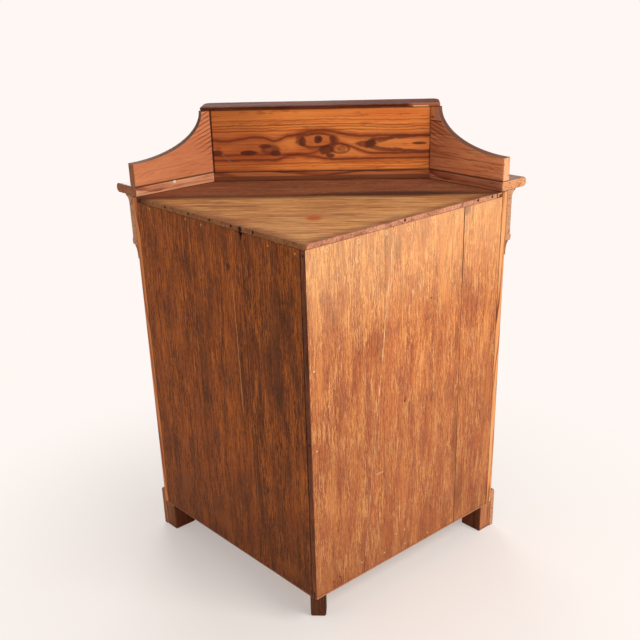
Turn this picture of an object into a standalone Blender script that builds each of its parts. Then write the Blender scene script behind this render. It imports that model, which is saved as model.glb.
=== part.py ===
"""A corner cabinet of about 1850 to 1880: pine and mahogany front, oak planks on the two back walls.

Metres, +Z up, +X to the right as seen from the front, the front faces -Y and the rear corner +Y.
The plan is a pentagon. Two back walls meet square at the rear corner, a canted return stands
square to each of them, and the front closes the returns at 135 degrees. A sloping pine gallery
stands on a moulded top. The front has a drawer in the frieze over one panelled door.
"""
import math

import bmesh
import bpy
from mathutils import Matrix, Vector

for old in list(bpy.data.objects):
    bpy.data.objects.remove(old, do_unlink=True)

# Plan of the carcass, to the outer faces of its boards
WALL = 0.620            # along a back wall, from the rear corner to the return's outer face
RETURN = 0.233          # depth of a canted return, square to its wall
FRONT_STILE = 0.0466   # front face of a front stile

# Heights, from the floor up
FOOT = 0.074            # floor to the lower ends of the back planks
PLANK_RISE = 0.820      # length of a back plank
OAK_TOP = 0.012         # rough boards that close the carcass
SHOW_TOP = 0.022        # moulded top at the front and returns
GALLERY_RISE = 0.148    # gallery above the moulded top
WING_LOW = 0.054        # gallery's height at the wall ends
CAP = 0.009             # capping on the gallery

# Thicknesses of the boards
PLANK = 0.014
SIDE = 0.018
STILE = 0.022
GALLERY = 0.023

# Fits
SEAT = 0.0003           # between pieces that rest on each other
PLANK_GAP = 0.0012      # shrinkage between neighbouring planks
CORNER_GAP = 0.0014     # between the lapping plank and the one behind it
DOOR_GAP = 0.0016       # round the door
DRAWER_PLAY = 0.0010    # each side of the drawer
OVERRUN = 0.004         # how far a cutter passes the face it cuts
ARRIS = 0.0008          # broken edges of sawn boards
WELD = 0.00001          # merge distance for the caps of an extruded outline

# Turns that follow from the plan
DIAGONAL_SHARE = math.sqrt(0.5)
MITRE_SHARE = math.tan(math.radians(22.5))

FRONT_DEPTH = (WALL + RETURN) * DIAGONAL_SHARE
FRONT_HALF = (WALL - RETURN) * DIAGONAL_SHARE
DOOR_HALF = FRONT_HALF - FRONT_STILE
PLANK_TOP_Z = FOOT + PLANK_RISE
OAK_Z = PLANK_TOP_Z + OAK_TOP
SHOW_Z = OAK_Z + SHOW_TOP
GALLERY_Z = SHOW_Z + GALLERY_RISE

# Moulded top: how far it passes the returns, and how far in it reaches
TOP_OVERHANG = 0.067
GALLERY_BACK = 0.020
TOP_NOSE = 0.010        # radius of the nose's upper edge
TOP_CHAMFER = 0.006     # cut under the nose

REAR_Y = (FRONT_DEPTH + TOP_OVERHANG) * 0.5
FRONT_Y = REAR_Y - FRONT_DEPTH

UP = Vector((0, 0, 1))


def collection(title):
    """A collection of its own for one kind of object, linked to the scene."""
    made = bpy.data.collections.new(title)
    bpy.context.scene.collection.children.link(made)
    return made


cabinet = collection('corner_cabinet')
cutters = collection('cutters')


def finish(name, colour, roughness, metallic=0.0):
    """One Principled finish with the colour that the wood or metal has in the photograph."""
    material = bpy.data.materials.new(name)
    material.use_nodes = True
    shader = material.node_tree.nodes['Principled BSDF']
    shader.inputs['Base Color'].default_value = (*colour, 1.0)
    shader.inputs['Roughness'].default_value = roughness
    shader.inputs['Metallic'].default_value = metallic
    return material


PINE = (0.52, 0.27, 0.10)
OAK_SHADED = (0.20, 0.085, 0.032)
OAK_LIT = (0.42, 0.20, 0.07)
OAK_GREY = (0.30, 0.18, 0.11)
MAHOGANY = (0.13, 0.028, 0.014)
BRASS = (0.62, 0.45, 0.19)
STEEL = (0.36, 0.35, 0.33)


def plan(hand, along, inward):
    """World x and y of a place along a back wall from the rear corner and square in from it.

    hand is 1 for the wall on the right of the front and -1 for the one on the left.
    """
    x = hand * (along - inward) * DIAGONAL_SHARE
    y = REAR_Y - (along + inward) * DIAGONAL_SHARE
    return Vector((x, y, 0))


def along_wall(hand):
    """Unit direction of a back wall, away from the rear corner."""
    return Vector((hand * DIAGONAL_SHARE, -DIAGONAL_SHARE, 0))


def into_room(hand):
    """Unit direction square in from a back wall, which is also that of its return."""
    return Vector((-hand * DIAGONAL_SHARE, -DIAGONAL_SHARE, 0))


def solid_of(curve_object, name):
    """Turn a filled, extruded outline into a mesh with welded caps and flat faces."""
    graph = bpy.context.evaluated_depsgraph_get()
    mesh = bpy.data.meshes.new_from_object(curve_object.evaluated_get(graph))
    shape = bmesh.new()
    shape.from_mesh(mesh)
    bmesh.ops.remove_doubles(shape, verts=shape.verts, dist=WELD)
    bmesh.ops.dissolve_limit(shape, angle_limit=math.radians(1), verts=shape.verts,
                             edges=shape.edges)
    bmesh.ops.recalc_face_normals(shape, faces=shape.faces)
    shape.to_mesh(mesh)
    shape.free()
    mesh.name = name
    mesh.materials.clear()
    bpy.data.objects.remove(curve_object, do_unlink=True)
    return mesh


def extruded(name, outline, depth):
    """Mesh of an outline in its own x and y, extruded evenly about zero along its z."""
    curve = bpy.data.curves.new(name, 'CURVE')
    curve.dimensions = '2D'
    curve.fill_mode = 'BOTH'
    curve.extrude = depth * 0.5
    spline = curve.splines.new('POLY')
    spline.points.add(len(outline) - 1)
    for point, (x, y) in zip(spline.points, outline):
        point.co = (x, y, 0, 1)
    spline.use_cyclic_u = True
    drawn = bpy.data.objects.new(name, curve)
    cabinet.objects.link(drawn)
    bpy.context.view_layer.update()
    return solid_of(drawn, name)


def placed(name, mesh, matrix, material, arris=ARRIS):
    """Put a mesh in the cabinet with its finish, and break its sharp edges."""
    made = bpy.data.objects.new(name, mesh)
    made.matrix_world = matrix
    if material is None:
        cutters.objects.link(made)
        made.hide_render = True
        made.display_type = 'WIRE'
    else:
        cabinet.objects.link(made)
        made.data.materials.append(material)
    if arris and material is not None:
        edge = made.modifiers.new('arris', 'BEVEL')
        edge.width = arris
        edge.segments = 1
        edge.limit_method = 'ANGLE'
        edge.angle_limit = math.radians(40)
    return made


def axes(origin, x_way, y_way):
    """Matrix that stands a piece at an origin with its x and y along two directions."""
    z_way = x_way.cross(y_way)
    turn = Matrix((x_way, y_way, z_way)).transposed().to_4x4()
    return Matrix.Translation(origin) @ turn


def slab(name, outline, bottom, top, material, arris=ARRIS):
    """A board that lies flat, sawn to an outline in plan."""
    mesh = extruded(name, [(point[0], point[1]) for point in outline], top - bottom)
    matrix = Matrix.Translation((0, 0, (bottom + top) * 0.5))
    return placed(name, mesh, matrix, material, arris)


def upright(name, outline, origin, way, near, far, material, arris=ARRIS, mitres=(0, 0)):
    """A board that stands on edge, its outline drawn along a direction and up.

    near and far are its faces, counted from the origin towards the left hand of the direction.
    Each mitre says how much longer an end gets for each unit of that distance.
    """
    mesh = extruded(name, outline, far - near)
    middle = (near + far) * 0.5
    first = min(x for x, _ in outline)
    last = max(x for x, _ in outline)
    for vertex in mesh.vertices:
        left = middle - vertex.co.z
        if abs(vertex.co.x - first) < WELD:
            vertex.co.x -= left * mitres[0]
        elif abs(vertex.co.x - last) < WELD:
            vertex.co.x += left * mitres[1]
    left_way = UP.cross(way)
    return placed(name, mesh, axes(origin + left_way * middle, way, UP), material, arris)


def run(name, profile, origin, way, length, material, mitres=(0, 0), arris=0):
    """A moulding or rail: a profile, drawn out to the left hand and up, run along a direction."""
    mesh = extruded(name, profile, length)
    for vertex in mesh.vertices:
        if vertex.co.z > 0:
            vertex.co.z += vertex.co.x * mitres[1]
        else:
            vertex.co.z -= vertex.co.x * mitres[0]
    left_way = UP.cross(way)
    return placed(name, mesh, axes(origin + way * (length * 0.5), left_way, UP), material, arris)


def block(name, low, high, material, matrix=None, arris=ARRIS):
    """A squared piece between two corners, in the axes that the matrix gives."""
    low = Vector(low)
    high = Vector(high)
    mesh = bpy.data.meshes.new(name)
    shape = bmesh.new()
    bmesh.ops.create_cube(shape, size=1)
    bmesh.ops.scale(shape, vec=high - low, verts=shape.verts)
    shape.to_mesh(mesh)
    shape.free()
    home = (matrix or Matrix.Identity(4)) @ Matrix.Translation((low + high) * 0.5)
    return placed(name, mesh, home, material, arris)


def pin(name, radius, bottom, top, x, y, material, sides):
    """A round bar that stands upright between two heights."""
    mesh = bpy.data.meshes.new(name)
    shape = bmesh.new()
    bmesh.ops.create_cone(shape, cap_ends=True, segments=sides, radius1=radius, radius2=radius,
                          depth=top - bottom)
    shape.to_mesh(mesh)
    shape.free()
    return placed(name, mesh, Matrix.Translation((x, y, (bottom + top) * 0.5)), material, 0)


def combine(piece, other, operation):
    """Cut one object with another, or join it on, and keep the exact solver."""
    step = piece.modifiers.new(operation.lower(), 'BOOLEAN')
    step.operation = operation
    step.solver = 'EXACT'
    step.object = other
    if other.name not in cutters.objects:
        cabinet.objects.unlink(other)
        cutters.objects.link(other)
        other.hide_render = True
        other.display_type = 'WIRE'


def arc(centre, radius_x, radius_y, start, stop, steps):
    """Points on an ellipse between two angles in degrees, both ends included."""
    points = []
    for step in range(steps + 1):
        angle = math.radians(start + (stop - start) * step / steps)
        points.append((centre[0] + radius_x * math.cos(angle),
                       centre[1] + radius_y * math.sin(angle)))
    return points


# Where the returns and the front start and end, read clockwise from the right-hand wall so that
# the left hand of each run is the show side
RIGHT_WALL_END = plan(1, WALL, 0)
RIGHT_CORNER = plan(1, WALL, RETURN)
LEFT_CORNER = plan(-1, WALL, RETURN)
LEFT_WALL_END = plan(-1, WALL, 0)
FRONT_WAY = Vector((-1, 0, 0))
HALF_SEAT = SEAT * 0.5


def three_runs(stem, profile, tint, arris=0, rough=0.35):
    """The same moulding on the right return, the front and the left return, mitred together."""
    made = []
    runs = (('right', RIGHT_WALL_END, into_room(1), RETURN - HALF_SEAT, (0, MITRE_SHARE)),
            ('front', RIGHT_CORNER + FRONT_WAY * HALF_SEAT, FRONT_WAY,
             FRONT_HALF * 2 - SEAT, (MITRE_SHARE, MITRE_SHARE)),
            ('left', LEFT_CORNER - into_room(-1) * HALF_SEAT, -into_room(-1),
             RETURN - HALF_SEAT, (MITRE_SHARE, 0)))
    for place, origin, way, length, mitres in runs:
        name = stem + '_' + place
        made.append(run(name, profile, origin, way, length, finish(name, tint, rough),
                        mitres, arris))
    return made


# Back walls: three oak planks each, nailed upright. The left wall's inner plank laps the right
# wall's, and one joint there leans because the planks were sawn tapered.
RIGHT_JOINT_SHARES = ((0.338, 0.338), (0.645, 0.645))
LEFT_JOINT_SHARES = ((0.407, 0.250), (0.781, 0.781))
RETURN_INNER = WALL - SIDE


def wall_planks(hand, side_name, start, joint_shares, tint):
    """The three planks of one back wall, each joint given at the top and at the foot."""
    joints = [(RETURN_INNER * top, RETURN_INNER * foot) for top, foot in joint_shares]
    edges = [(start, start)] + joints + [(RETURN_INNER - SEAT, RETURN_INNER - SEAT)]
    for number in range(len(edges) - 1):
        near_top, near_foot = edges[number]
        far_top, far_foot = edges[number + 1]
        if number:
            near_top += PLANK_GAP
            near_foot += PLANK_GAP
        outline = ((near_foot, FOOT), (far_foot, FOOT), (far_top, PLANK_TOP_Z),
                   (near_top, PLANK_TOP_Z))
        name = 'back_plank_' + side_name + '_' + str(number + 1)
        near, far = (-PLANK, 0) if hand > 0 else (0, PLANK)
        upright(name, outline, plan(hand, 0, 0), along_wall(hand), near, far,
                finish(name, tint, 0.72))


wall_planks(1, 'right', PLANK + CORNER_GAP, RIGHT_JOINT_SHARES, OAK_SHADED)
wall_planks(-1, 'left', 0, LEFT_JOINT_SHARES, OAK_LIT)

# Return boards and front stiles, mitred to each other at the front corners
RETURN_FACE_IN = (FRONT_DEPTH - STILE) / DIAGONAL_SHARE - RETURN_INNER
for hand, side_name in ((1, 'right'), (-1, 'left')):
    name = 'return_board_' + side_name
    slab(name, (plan(hand, WALL, 0), plan(hand, WALL, RETURN - SEAT),
                plan(hand, RETURN_INNER, RETURN_FACE_IN - SEAT), plan(hand, RETURN_INNER, 0)),
         FOOT, OAK_Z - SEAT, finish(name, PINE, 0.6))

front_stiles = {}
for hand, side_name in ((1, 'right'), (-1, 'left')):
    name = 'front_stile_' + side_name
    front_stiles[hand] = slab(
        name, (plan(hand, WALL, RETURN), plan(hand, RETURN_INNER, RETURN_FACE_IN),
               (hand * DOOR_HALF, FRONT_Y + STILE), (hand * DOOR_HALF, FRONT_Y)),
        FOOT, PLANK_TOP_Z - SEAT, finish(name, MAHOGANY, 0.35), 0)


def floor_plan(wall_gap, return_gap, front_gap):
    """The carcass outline in plan, drawn in from the walls, the returns and the front."""
    far = WALL - return_gap
    corner = (FRONT_DEPTH - front_gap) / DIAGONAL_SHARE - far
    return [plan(1, wall_gap, wall_gap), plan(1, far, wall_gap), plan(1, far, corner),
            plan(-1, far, corner), plan(-1, far, wall_gap)]


def between(outline, near, far):
    """The part of an outline that lies between two depths from the rear corner."""
    for limit, keep in ((near, 1), (far, -1)):
        kept = []
        for number, point in enumerate(outline):
            before = outline[number - 1]
            here = keep * (REAR_Y - point[1] - limit)
            there = keep * (REAR_Y - before[1] - limit)
            if here * there < 0:
                share = there / (there - here)
                kept.append(before + (point - before) * share)
            if here >= 0:
                kept.append(point)
        outline = kept
    return outline


# Oak boards on top, side by side from the rear corner to the front, flush with the walls
TOP_JOINT_SHARES = (0.350, 0.683)
TOP_JOINT_GAP = 0.0010
depths = [FRONT_DEPTH * share for share in (0, *TOP_JOINT_SHARES, 1)]
for number in range(len(depths) - 1):
    name = 'top_board_' + str(number + 1)
    start = depths[number] + (TOP_JOINT_GAP if number else 0)
    slab(name, between(floor_plan(0, SIDE + SEAT, 0), start, depths[number + 1]),
         PLANK_TOP_Z + SEAT, OAK_Z - SEAT, finish(name, OAK_GREY, 0.8))

# Floor of the cupboard. It runs out between the stiles, where the door shuts above it.
BOTTOM = 0.020
BOTTOM_LIFT = 0.020     # from the planks' lower ends to the floor's underside
BOTTOM_Z = FOOT + BOTTOM_LIFT + BOTTOM
INNER = PLANK + SEAT
rear, right_wall, right_front, left_front, left_wall = floor_plan(INNER, SIDE + SEAT, STILE + SEAT)
cheek = DOOR_HALF - SEAT
slab('bottom_board',
     (rear, right_wall, right_front, (cheek, FRONT_Y + STILE + SEAT), (cheek, FRONT_Y),
      (-cheek, FRONT_Y), (-cheek, FRONT_Y + STILE + SEAT), left_front, left_wall),
     BOTTOM_Z - BOTTOM, BOTTOM_Z, finish('bottom_board', PINE, 0.7), 0)

# Rear corner post, to which both walls are nailed
POST = 0.040
POST_FACE = INNER + POST
slab('corner_post', (plan(1, INNER, INNER), plan(1, POST_FACE, INNER),
                     plan(1, POST_FACE, POST_FACE), plan(1, INNER, POST_FACE)),
     BOTTOM_Z + SEAT, PLANK_TOP_Z, finish('corner_post', PINE, 0.7))

# Shelf, notched round the post, on a batten along each wall
SHELF = 0.016
SHELF_Z = 0.430
SHELF_BACK = 0.030      # set back behind the door
BATTEN = 0.020
POST_CLEAR = POST_FACE + SEAT
wall_corner, right_wall, right_front, left_front, left_wall = floor_plan(
    INNER, SIDE + SEAT, STILE + SHELF_BACK)
slab('shelf', (plan(1, POST_CLEAR, INNER), right_wall, right_front, left_front, left_wall,
               plan(-1, POST_CLEAR, INNER), plan(1, POST_CLEAR, POST_CLEAR)),
     SHELF_Z, SHELF_Z + SHELF, finish('shelf', PINE, 0.7))


def wall_axes(hand):
    """Axes of a back wall: x away from the rear corner, y up, z square to the wall."""
    return axes(plan(hand, 0, 0), along_wall(hand), UP)


for hand, side_name in ((1, 'right'), (-1, 'left')):
    name = 'shelf_batten_' + side_name
    faces = sorted((hand * INNER, hand * (INNER + BATTEN)))
    block(name, (POST_CLEAR, SHELF_Z - SEAT - BATTEN, faces[0]),
          (RETURN_INNER - SEAT, SHELF_Z - SEAT, faces[1]), finish(name, PINE, 0.7),
          wall_axes(hand))

# Feet: a squared block under each return, and one that stands across the rear corner
FOOT_BLOCK = 0.042
FOOT_DEPTH = 0.062
REAR_FOOT = 0.036
FOOT_ARRIS = 0.003
for hand, side_name in ((1, 'right'), (-1, 'left')):
    name = 'foot_block_' + side_name
    faces = sorted((0, hand * FOOT_DEPTH))
    block(name, (WALL - FOOT_BLOCK, 0, faces[0]), (WALL, FOOT - SEAT, faces[1]),
          finish(name, PINE, 0.75), wall_axes(hand), FOOT_ARRIS)
rear_foot_half = REAR_FOOT * 0.5
rear_foot_y = REAR_Y - INNER * 2 * DIAGONAL_SHARE - rear_foot_half
block('rear_foot', (-rear_foot_half, rear_foot_y - REAR_FOOT, 0),
      (rear_foot_half, rear_foot_y, BOTTOM_Z - BOTTOM - SEAT),
      finish('rear_foot', OAK_SHADED, 0.75), None, FOOT_ARRIS)

# Plinth round the returns and the front
PLINTH = 0.014
PLINTH_RISE = 0.111
PLINTH_CHAMFER = 0.005
three_runs('plinth', ((SEAT, 0), (PLINTH, 0), (PLINTH, PLINTH_RISE - PLINTH_CHAMFER),
                      (PLINTH - PLINTH_CHAMFER, PLINTH_RISE), (SEAT, PLINTH_RISE)), MAHOGANY)

# Frieze: a flat face over a bead. On the front it is the facing of the drawer.
FRIEZE = 0.017
FRIEZE_DROP = 0.120     # from the underside of the moulded top to the frieze's lower edge
BEAD = 0.016
BEAD_OUT = 0.004
COVE = 0.020
COVE_OUT = 0.012
COVE_LIP = 0.003
FACING_GAP = 0.0010
FRIEZE_LOW = OAK_Z - FRIEZE_DROP
FRIEZE_HIGH = OAK_Z - COVE - SEAT


def frieze_profile(low, high):
    """Section of the frieze: its back, its face and the half-round bead at the bottom."""
    bead = arc((FRIEZE, low + BEAD * 0.5), BEAD_OUT, BEAD * 0.5, -90, 90, 6)
    return [(SEAT, low)] + bead + [(FRIEZE, high), (SEAT, high)]


def cabinet_run(name, profile, origin, way, length, mitres, tint=MAHOGANY):
    """A polished moulding that stands by itself."""
    return run(name, profile, origin, way, length, finish(name, tint, 0.3), mitres)


cabinet_run('frieze_right', frieze_profile(FRIEZE_LOW, FRIEZE_HIGH), RIGHT_WALL_END,
            into_room(1), RETURN - HALF_SEAT, (0, MITRE_SHARE))
cabinet_run('frieze_left', frieze_profile(FRIEZE_LOW, FRIEZE_HIGH),
            LEFT_CORNER - into_room(-1) * HALF_SEAT, -into_room(-1), RETURN - HALF_SEAT,
            (MITRE_SHARE, 0))
drawer_facing = cabinet_run(
    'drawer_facing', frieze_profile(FRIEZE_LOW + FACING_GAP, FRIEZE_HIGH - FACING_GAP),
    RIGHT_CORNER + FRONT_WAY * FACING_GAP, FRONT_WAY, (FRONT_HALF - FACING_GAP) * 2,
    (MITRE_SHARE, MITRE_SHARE))

# Cove between the frieze and the moulded top
cove_curve = arc((FRIEZE + COVE_OUT, OAK_Z - COVE), COVE_OUT, COVE - COVE_LIP, 180, 90, 6)
three_runs('cove', [(SEAT, OAK_Z - COVE)] + cove_curve
           + [(FRIEZE + COVE_OUT, OAK_Z), (SEAT, OAK_Z)], MAHOGANY)

# Hollow neck moulding under the frieze
NECK = 0.033
NECK_OUT = 0.011
NECK_FOOT = 0.0025
NECK_LIP = 0.003
NECK_LOW = FRIEZE_LOW - NECK
neck_high = FRIEZE_LOW - SEAT
neck_curve = arc((NECK_OUT, NECK_LOW), NECK_OUT - NECK_FOOT, NECK - NECK_LIP, 180, 90, 7)
three_runs('neck', [(SEAT, NECK_LOW)] + neck_curve
           + [(NECK_OUT, neck_high), (SEAT, neck_high)], MAHOGANY)

# Moulded top, which lies on the oak boards and the returns
nose = arc((TOP_OVERHANG - TOP_NOSE, SHOW_Z - TOP_NOSE), TOP_NOSE, TOP_NOSE, 0, 90, 5)
top_low = OAK_Z + SEAT
three_runs('moulded_top',
           [(-GALLERY_BACK, top_low), (TOP_OVERHANG - TOP_CHAMFER, top_low),
            (TOP_OVERHANG, top_low + TOP_CHAMFER)] + nose + [(-GALLERY_BACK, SHOW_Z)], MAHOGANY)

# Gallery: a straight centre board and two wings with a hollow sweep down to the walls
WING_FLAT = 0.024       # level stretch beside the centre board
GALLERY_FRONT = GALLERY - GALLERY_BACK
gallery_low = SHOW_Z + SEAT
gallery_top = GALLERY_Z - SEAT
gallery_length = FRONT_HALF * 2 - SEAT
wing_length = RETURN - HALF_SEAT
upright('gallery_centre', ((0, gallery_low), (gallery_length, gallery_low),
                           (gallery_length, gallery_top), (0, gallery_top)),
        RIGHT_CORNER + FRONT_WAY * HALF_SEAT, FRONT_WAY, -GALLERY_BACK, GALLERY_FRONT,
        finish('gallery_centre', PINE, 0.55), 0, (MITRE_SHARE, MITRE_SHARE))
sweep = arc((0, gallery_top), RETURN - WING_FLAT, GALLERY_RISE - WING_LOW, 0, -90, 16)
wing = [(0, gallery_low), (wing_length, gallery_low), (wing_length, gallery_top)] + sweep
upright('gallery_wing_right', wing, RIGHT_WALL_END, into_room(1), -GALLERY_BACK, GALLERY_FRONT,
        finish('gallery_wing_right', PINE, 0.55), 0, (0, MITRE_SHARE))
upright('gallery_wing_left', [(wing_length - x, z) for x, z in wing],
        LEFT_CORNER - into_room(-1) * HALF_SEAT, -into_room(-1), -GALLERY_BACK, GALLERY_FRONT,
        finish('gallery_wing_left', PINE, 0.55), 0, (MITRE_SHARE, 0))

# Capping on the gallery, with its front corners rounded
CAP_DEPTH = 0.076
CAP_REAR = 0.004
CAP_END = 0.014
CAP_CORNER = 0.020
CAP_EDGE = 0.002
cap_half = FRONT_HALF + CAP_END
cap_rear_y = FRONT_Y + GALLERY_BACK + CAP_REAR
cap_front_y = cap_rear_y - CAP_DEPTH
cap_round = cap_half - CAP_CORNER
slab('gallery_cap',
     [(cap_half, cap_rear_y), (-cap_half, cap_rear_y)]
     + arc((-cap_round, cap_front_y + CAP_CORNER), CAP_CORNER, CAP_CORNER, 180, 270, 6)
     + arc((cap_round, cap_front_y + CAP_CORNER), CAP_CORNER, CAP_CORNER, 270, 360, 6),
     GALLERY_Z, GALLERY_Z + CAP, finish('gallery_cap', MAHOGANY, 0.3), CAP_EDGE)

# Rail between the drawer and the door, and the runners that the drawer slides on
FACING_LAP = 0.008      # how far the facing hangs below the drawer
RAIL_DEPTH = 0.060
RUNNER = 0.018
RUNNER_IN = 0.026
GUIDE = 0.012
GUIDE_RISE = 0.016
DRAWER_Z = FRIEZE_LOW + FACING_LAP
block('drawer_rail', (-cheek, FRONT_Y, NECK_LOW), (cheek, FRONT_Y + RAIL_DEPTH, DRAWER_Z - SEAT),
      finish('drawer_rail', MAHOGANY, 0.4), None, 0)
runner_start = FRONT_Y + RAIL_DEPTH + SEAT
runner_length = REAR_Y - INNER * 2 * DIAGONAL_SHARE - runner_start
for hand, side_name in ((1, 'right'), (-1, 'left')):
    name = 'drawer_runner_' + side_name
    inner_x = DOOR_HALF - RUNNER_IN
    outer_x = DOOR_HALF + GUIDE
    section = ((inner_x, DRAWER_Z - SEAT - RUNNER), (outer_x, DRAWER_Z - SEAT - RUNNER),
               (outer_x, DRAWER_Z + GUIDE_RISE), (DOOR_HALF, DRAWER_Z + GUIDE_RISE),
               (DOOR_HALF, DRAWER_Z - SEAT), (inner_x, DRAWER_Z - SEAT))
    run(name, [(-hand * x, z) for x, z in section], Vector((0, runner_start, 0)),
        Vector((0, 1, 0)), runner_length, finish(name, PINE, 0.7), (0, hand))

# Drawer, dovetailed through at both ends. Its bottom slides into grooves from behind.
DRAWER_DEPTH = 0.330
DRAWER_RISE = 0.084
DRAWER_FRONT = 0.018
DRAWER_SIDE = 0.011
DRAWER_BACK = 0.010
DRAWER_BOTTOM = 0.006
BOTTOM_GROOVE = 0.005
GROOVE_LIFT = 0.009
BACK_DROP = 0.006       # the back stands this much below the sides
TAIL_HALF = 0.007       # half a tail where it leaves the side
TAIL_SLOPE_SHARE = 1 / 6
FRONT_TAIL_SHARES = (0.20, 0.50, 0.80)
REAR_TAIL_SHARES = (0.40, 0.74)
DRAWER_X = DOOR_HALF - DRAWER_PLAY
drawer_home = Vector((0, FRONT_Y, 0))


def tailed_side(grow, reach):
    """Outline of a drawer side, with dovetails on both ends.

    grow widens each tail and reach lengthens it, which makes the cutter for the pins.
    """
    front = DRAWER_FRONT + SEAT
    back = DRAWER_DEPTH - DRAWER_BACK - SEAT
    outline = [(front, DRAWER_Z), (back, DRAWER_Z)]
    for share in REAR_TAIL_SHARES:
        centre = DRAWER_Z + DRAWER_RISE * share
        root = TAIL_HALF + grow
        tip = root + (DRAWER_BACK + reach) * TAIL_SLOPE_SHARE
        end = DRAWER_DEPTH + reach
        outline += [(back, centre - root), (end, centre - tip), (end, centre + tip),
                    (back, centre + root)]
    outline += [(back, DRAWER_Z + DRAWER_RISE), (front, DRAWER_Z + DRAWER_RISE)]
    for share in reversed(FRONT_TAIL_SHARES):
        centre = DRAWER_Z + DRAWER_RISE * share
        root = TAIL_HALF + grow
        tip = root + (DRAWER_FRONT + reach) * TAIL_SLOPE_SHARE
        outline += [(front, centre + root), (-reach, centre + tip), (-reach, centre - tip),
                    (front, centre - root)]
    return outline


drawer_sides = []
pin_cutters = []
for hand, side_name in ((1, 'right'), (-1, 'left')):
    name = 'drawer_side_' + side_name
    near, far = sorted((-hand * DRAWER_X, -hand * (DRAWER_X - DRAWER_SIDE)))
    drawer_sides.append(upright(name, tailed_side(0, 0), drawer_home, Vector((0, 1, 0)),
                                near, far, finish(name, PINE, 0.6), 0))
    near, far = sorted((-hand * (DRAWER_X + OVERRUN), -hand * (DRAWER_X - DRAWER_SIDE - SEAT)))
    pin_cutters.append(upright('cut_pins_' + side_name, tailed_side(SEAT, OVERRUN), drawer_home,
                               Vector((0, 1, 0)), near, far, None))

drawer_top = DRAWER_Z + DRAWER_RISE
groove_low = DRAWER_Z + GROOVE_LIFT
groove_high = groove_low + DRAWER_BOTTOM + SEAT * 2
groove_x = DRAWER_X - DRAWER_SIDE + BOTTOM_GROOVE
groove_y = FRONT_Y + DRAWER_FRONT - BOTTOM_GROOVE
drawer_rear_y = FRONT_Y + DRAWER_DEPTH
drawer_front = block('drawer_front', (-DRAWER_X, FRONT_Y, DRAWER_Z),
                     (DRAWER_X, FRONT_Y + DRAWER_FRONT, drawer_top),
                     finish('drawer_front', PINE, 0.6), None, 0)
drawer_back = block('drawer_back', (-DRAWER_X, drawer_rear_y - DRAWER_BACK, groove_high),
                    (DRAWER_X, drawer_rear_y, drawer_top - BACK_DROP),
                    finish('drawer_back', PINE, 0.6), None, 0)
groove = block('cut_bottom_groove', (-groove_x, groove_y, groove_low),
               (groove_x, drawer_rear_y + OVERRUN, groove_high), None)
for piece in (drawer_front, drawer_back):
    for cutter in pin_cutters:
        combine(piece, cutter, 'DIFFERENCE')
for piece in (drawer_front, *drawer_sides):
    combine(piece, groove, 'DIFFERENCE')
drawer_bottom = block('drawer_bottom', (-groove_x + SEAT, groove_y + SEAT, groove_low + SEAT),
                      (groove_x - SEAT, drawer_rear_y, groove_high - SEAT),
                      finish('drawer_bottom', PINE, 0.65), None, 0)

# Door: stiles and rails with an ovolo and a groove run on their inner edges. The rails' shoulders
# are scribed over the stiles' ovolo, and their tenons stand in mortises.
DOOR_STILE = 0.062
DOOR_TOP_RAIL = 0.070
DOOR_FOOT_RAIL = 0.086
PANEL = 0.008
PANEL_BACK = 0.0095     # from the door's face to the groove
PANEL_PLAY = 0.0010     # room for the panel to move in the groove
PANEL_GROOVE = 0.008
OVOLO = 0.010
OVOLO_QUIRK = 0.0014
TENON = 0.040
TENON_WIDE = 0.038
TENON_SET = 0.015       # from the door's edge to the tenon
DOOR_X = DOOR_HALF - DOOR_GAP
DOOR_LOW = BOTTOM_Z + DOOR_GAP
DOOR_HIGH = NECK_LOW - DOOR_GAP
groove_width = PANEL + SEAT * 2


def door_section(width, grow):
    """Section of a door member, from its outer edge inwards and from its face to the back.

    grow swells the ovolo and closes the groove, which makes the cutter for a scribed shoulder.
    """
    start = width - OVOLO
    deep = PANEL_BACK - OVOLO_QUIRK
    curve = arc((start, deep), OVOLO + grow, deep - OVOLO_QUIRK + grow, -90, 0, 6)
    if grow:
        curve = [point for point in curve if point[0] > start + grow]
        return ([(-OVERRUN, -OVERRUN), (start + grow, -OVERRUN), (start + grow, OVOLO_QUIRK - grow)]
                + curve + [(width + grow, STILE + OVERRUN), (-OVERRUN, STILE + OVERRUN)])
    return ([(0, 0), (start, 0)] + curve
            + [(width, PANEL_BACK), (width - PANEL_GROOVE, PANEL_BACK),
               (width - PANEL_GROOVE, PANEL_BACK + groove_width),
               (width, PANEL_BACK + groove_width), (width, STILE), (0, STILE)])


door_stiles = {}
stile_cutters = []
for hand, side_name in ((1, 'right'), (-1, 'left')):
    name = 'door_stile_' + side_name
    section = [(hand * (DOOR_X - across), FRONT_Y + back)
               for across, back in door_section(DOOR_STILE, 0)]
    door_stiles[hand] = slab(name, section, DOOR_LOW, DOOR_HIGH, finish(name, MAHOGANY, 0.3), 0)
    section = [(hand * (DOOR_X - across), FRONT_Y + back)
               for across, back in door_section(DOOR_STILE, SEAT)]
    stile_cutters.append(slab('cut_shoulder_' + side_name, section, DOOR_LOW - OVERRUN,
                              DOOR_HIGH + OVERRUN, None))

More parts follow.
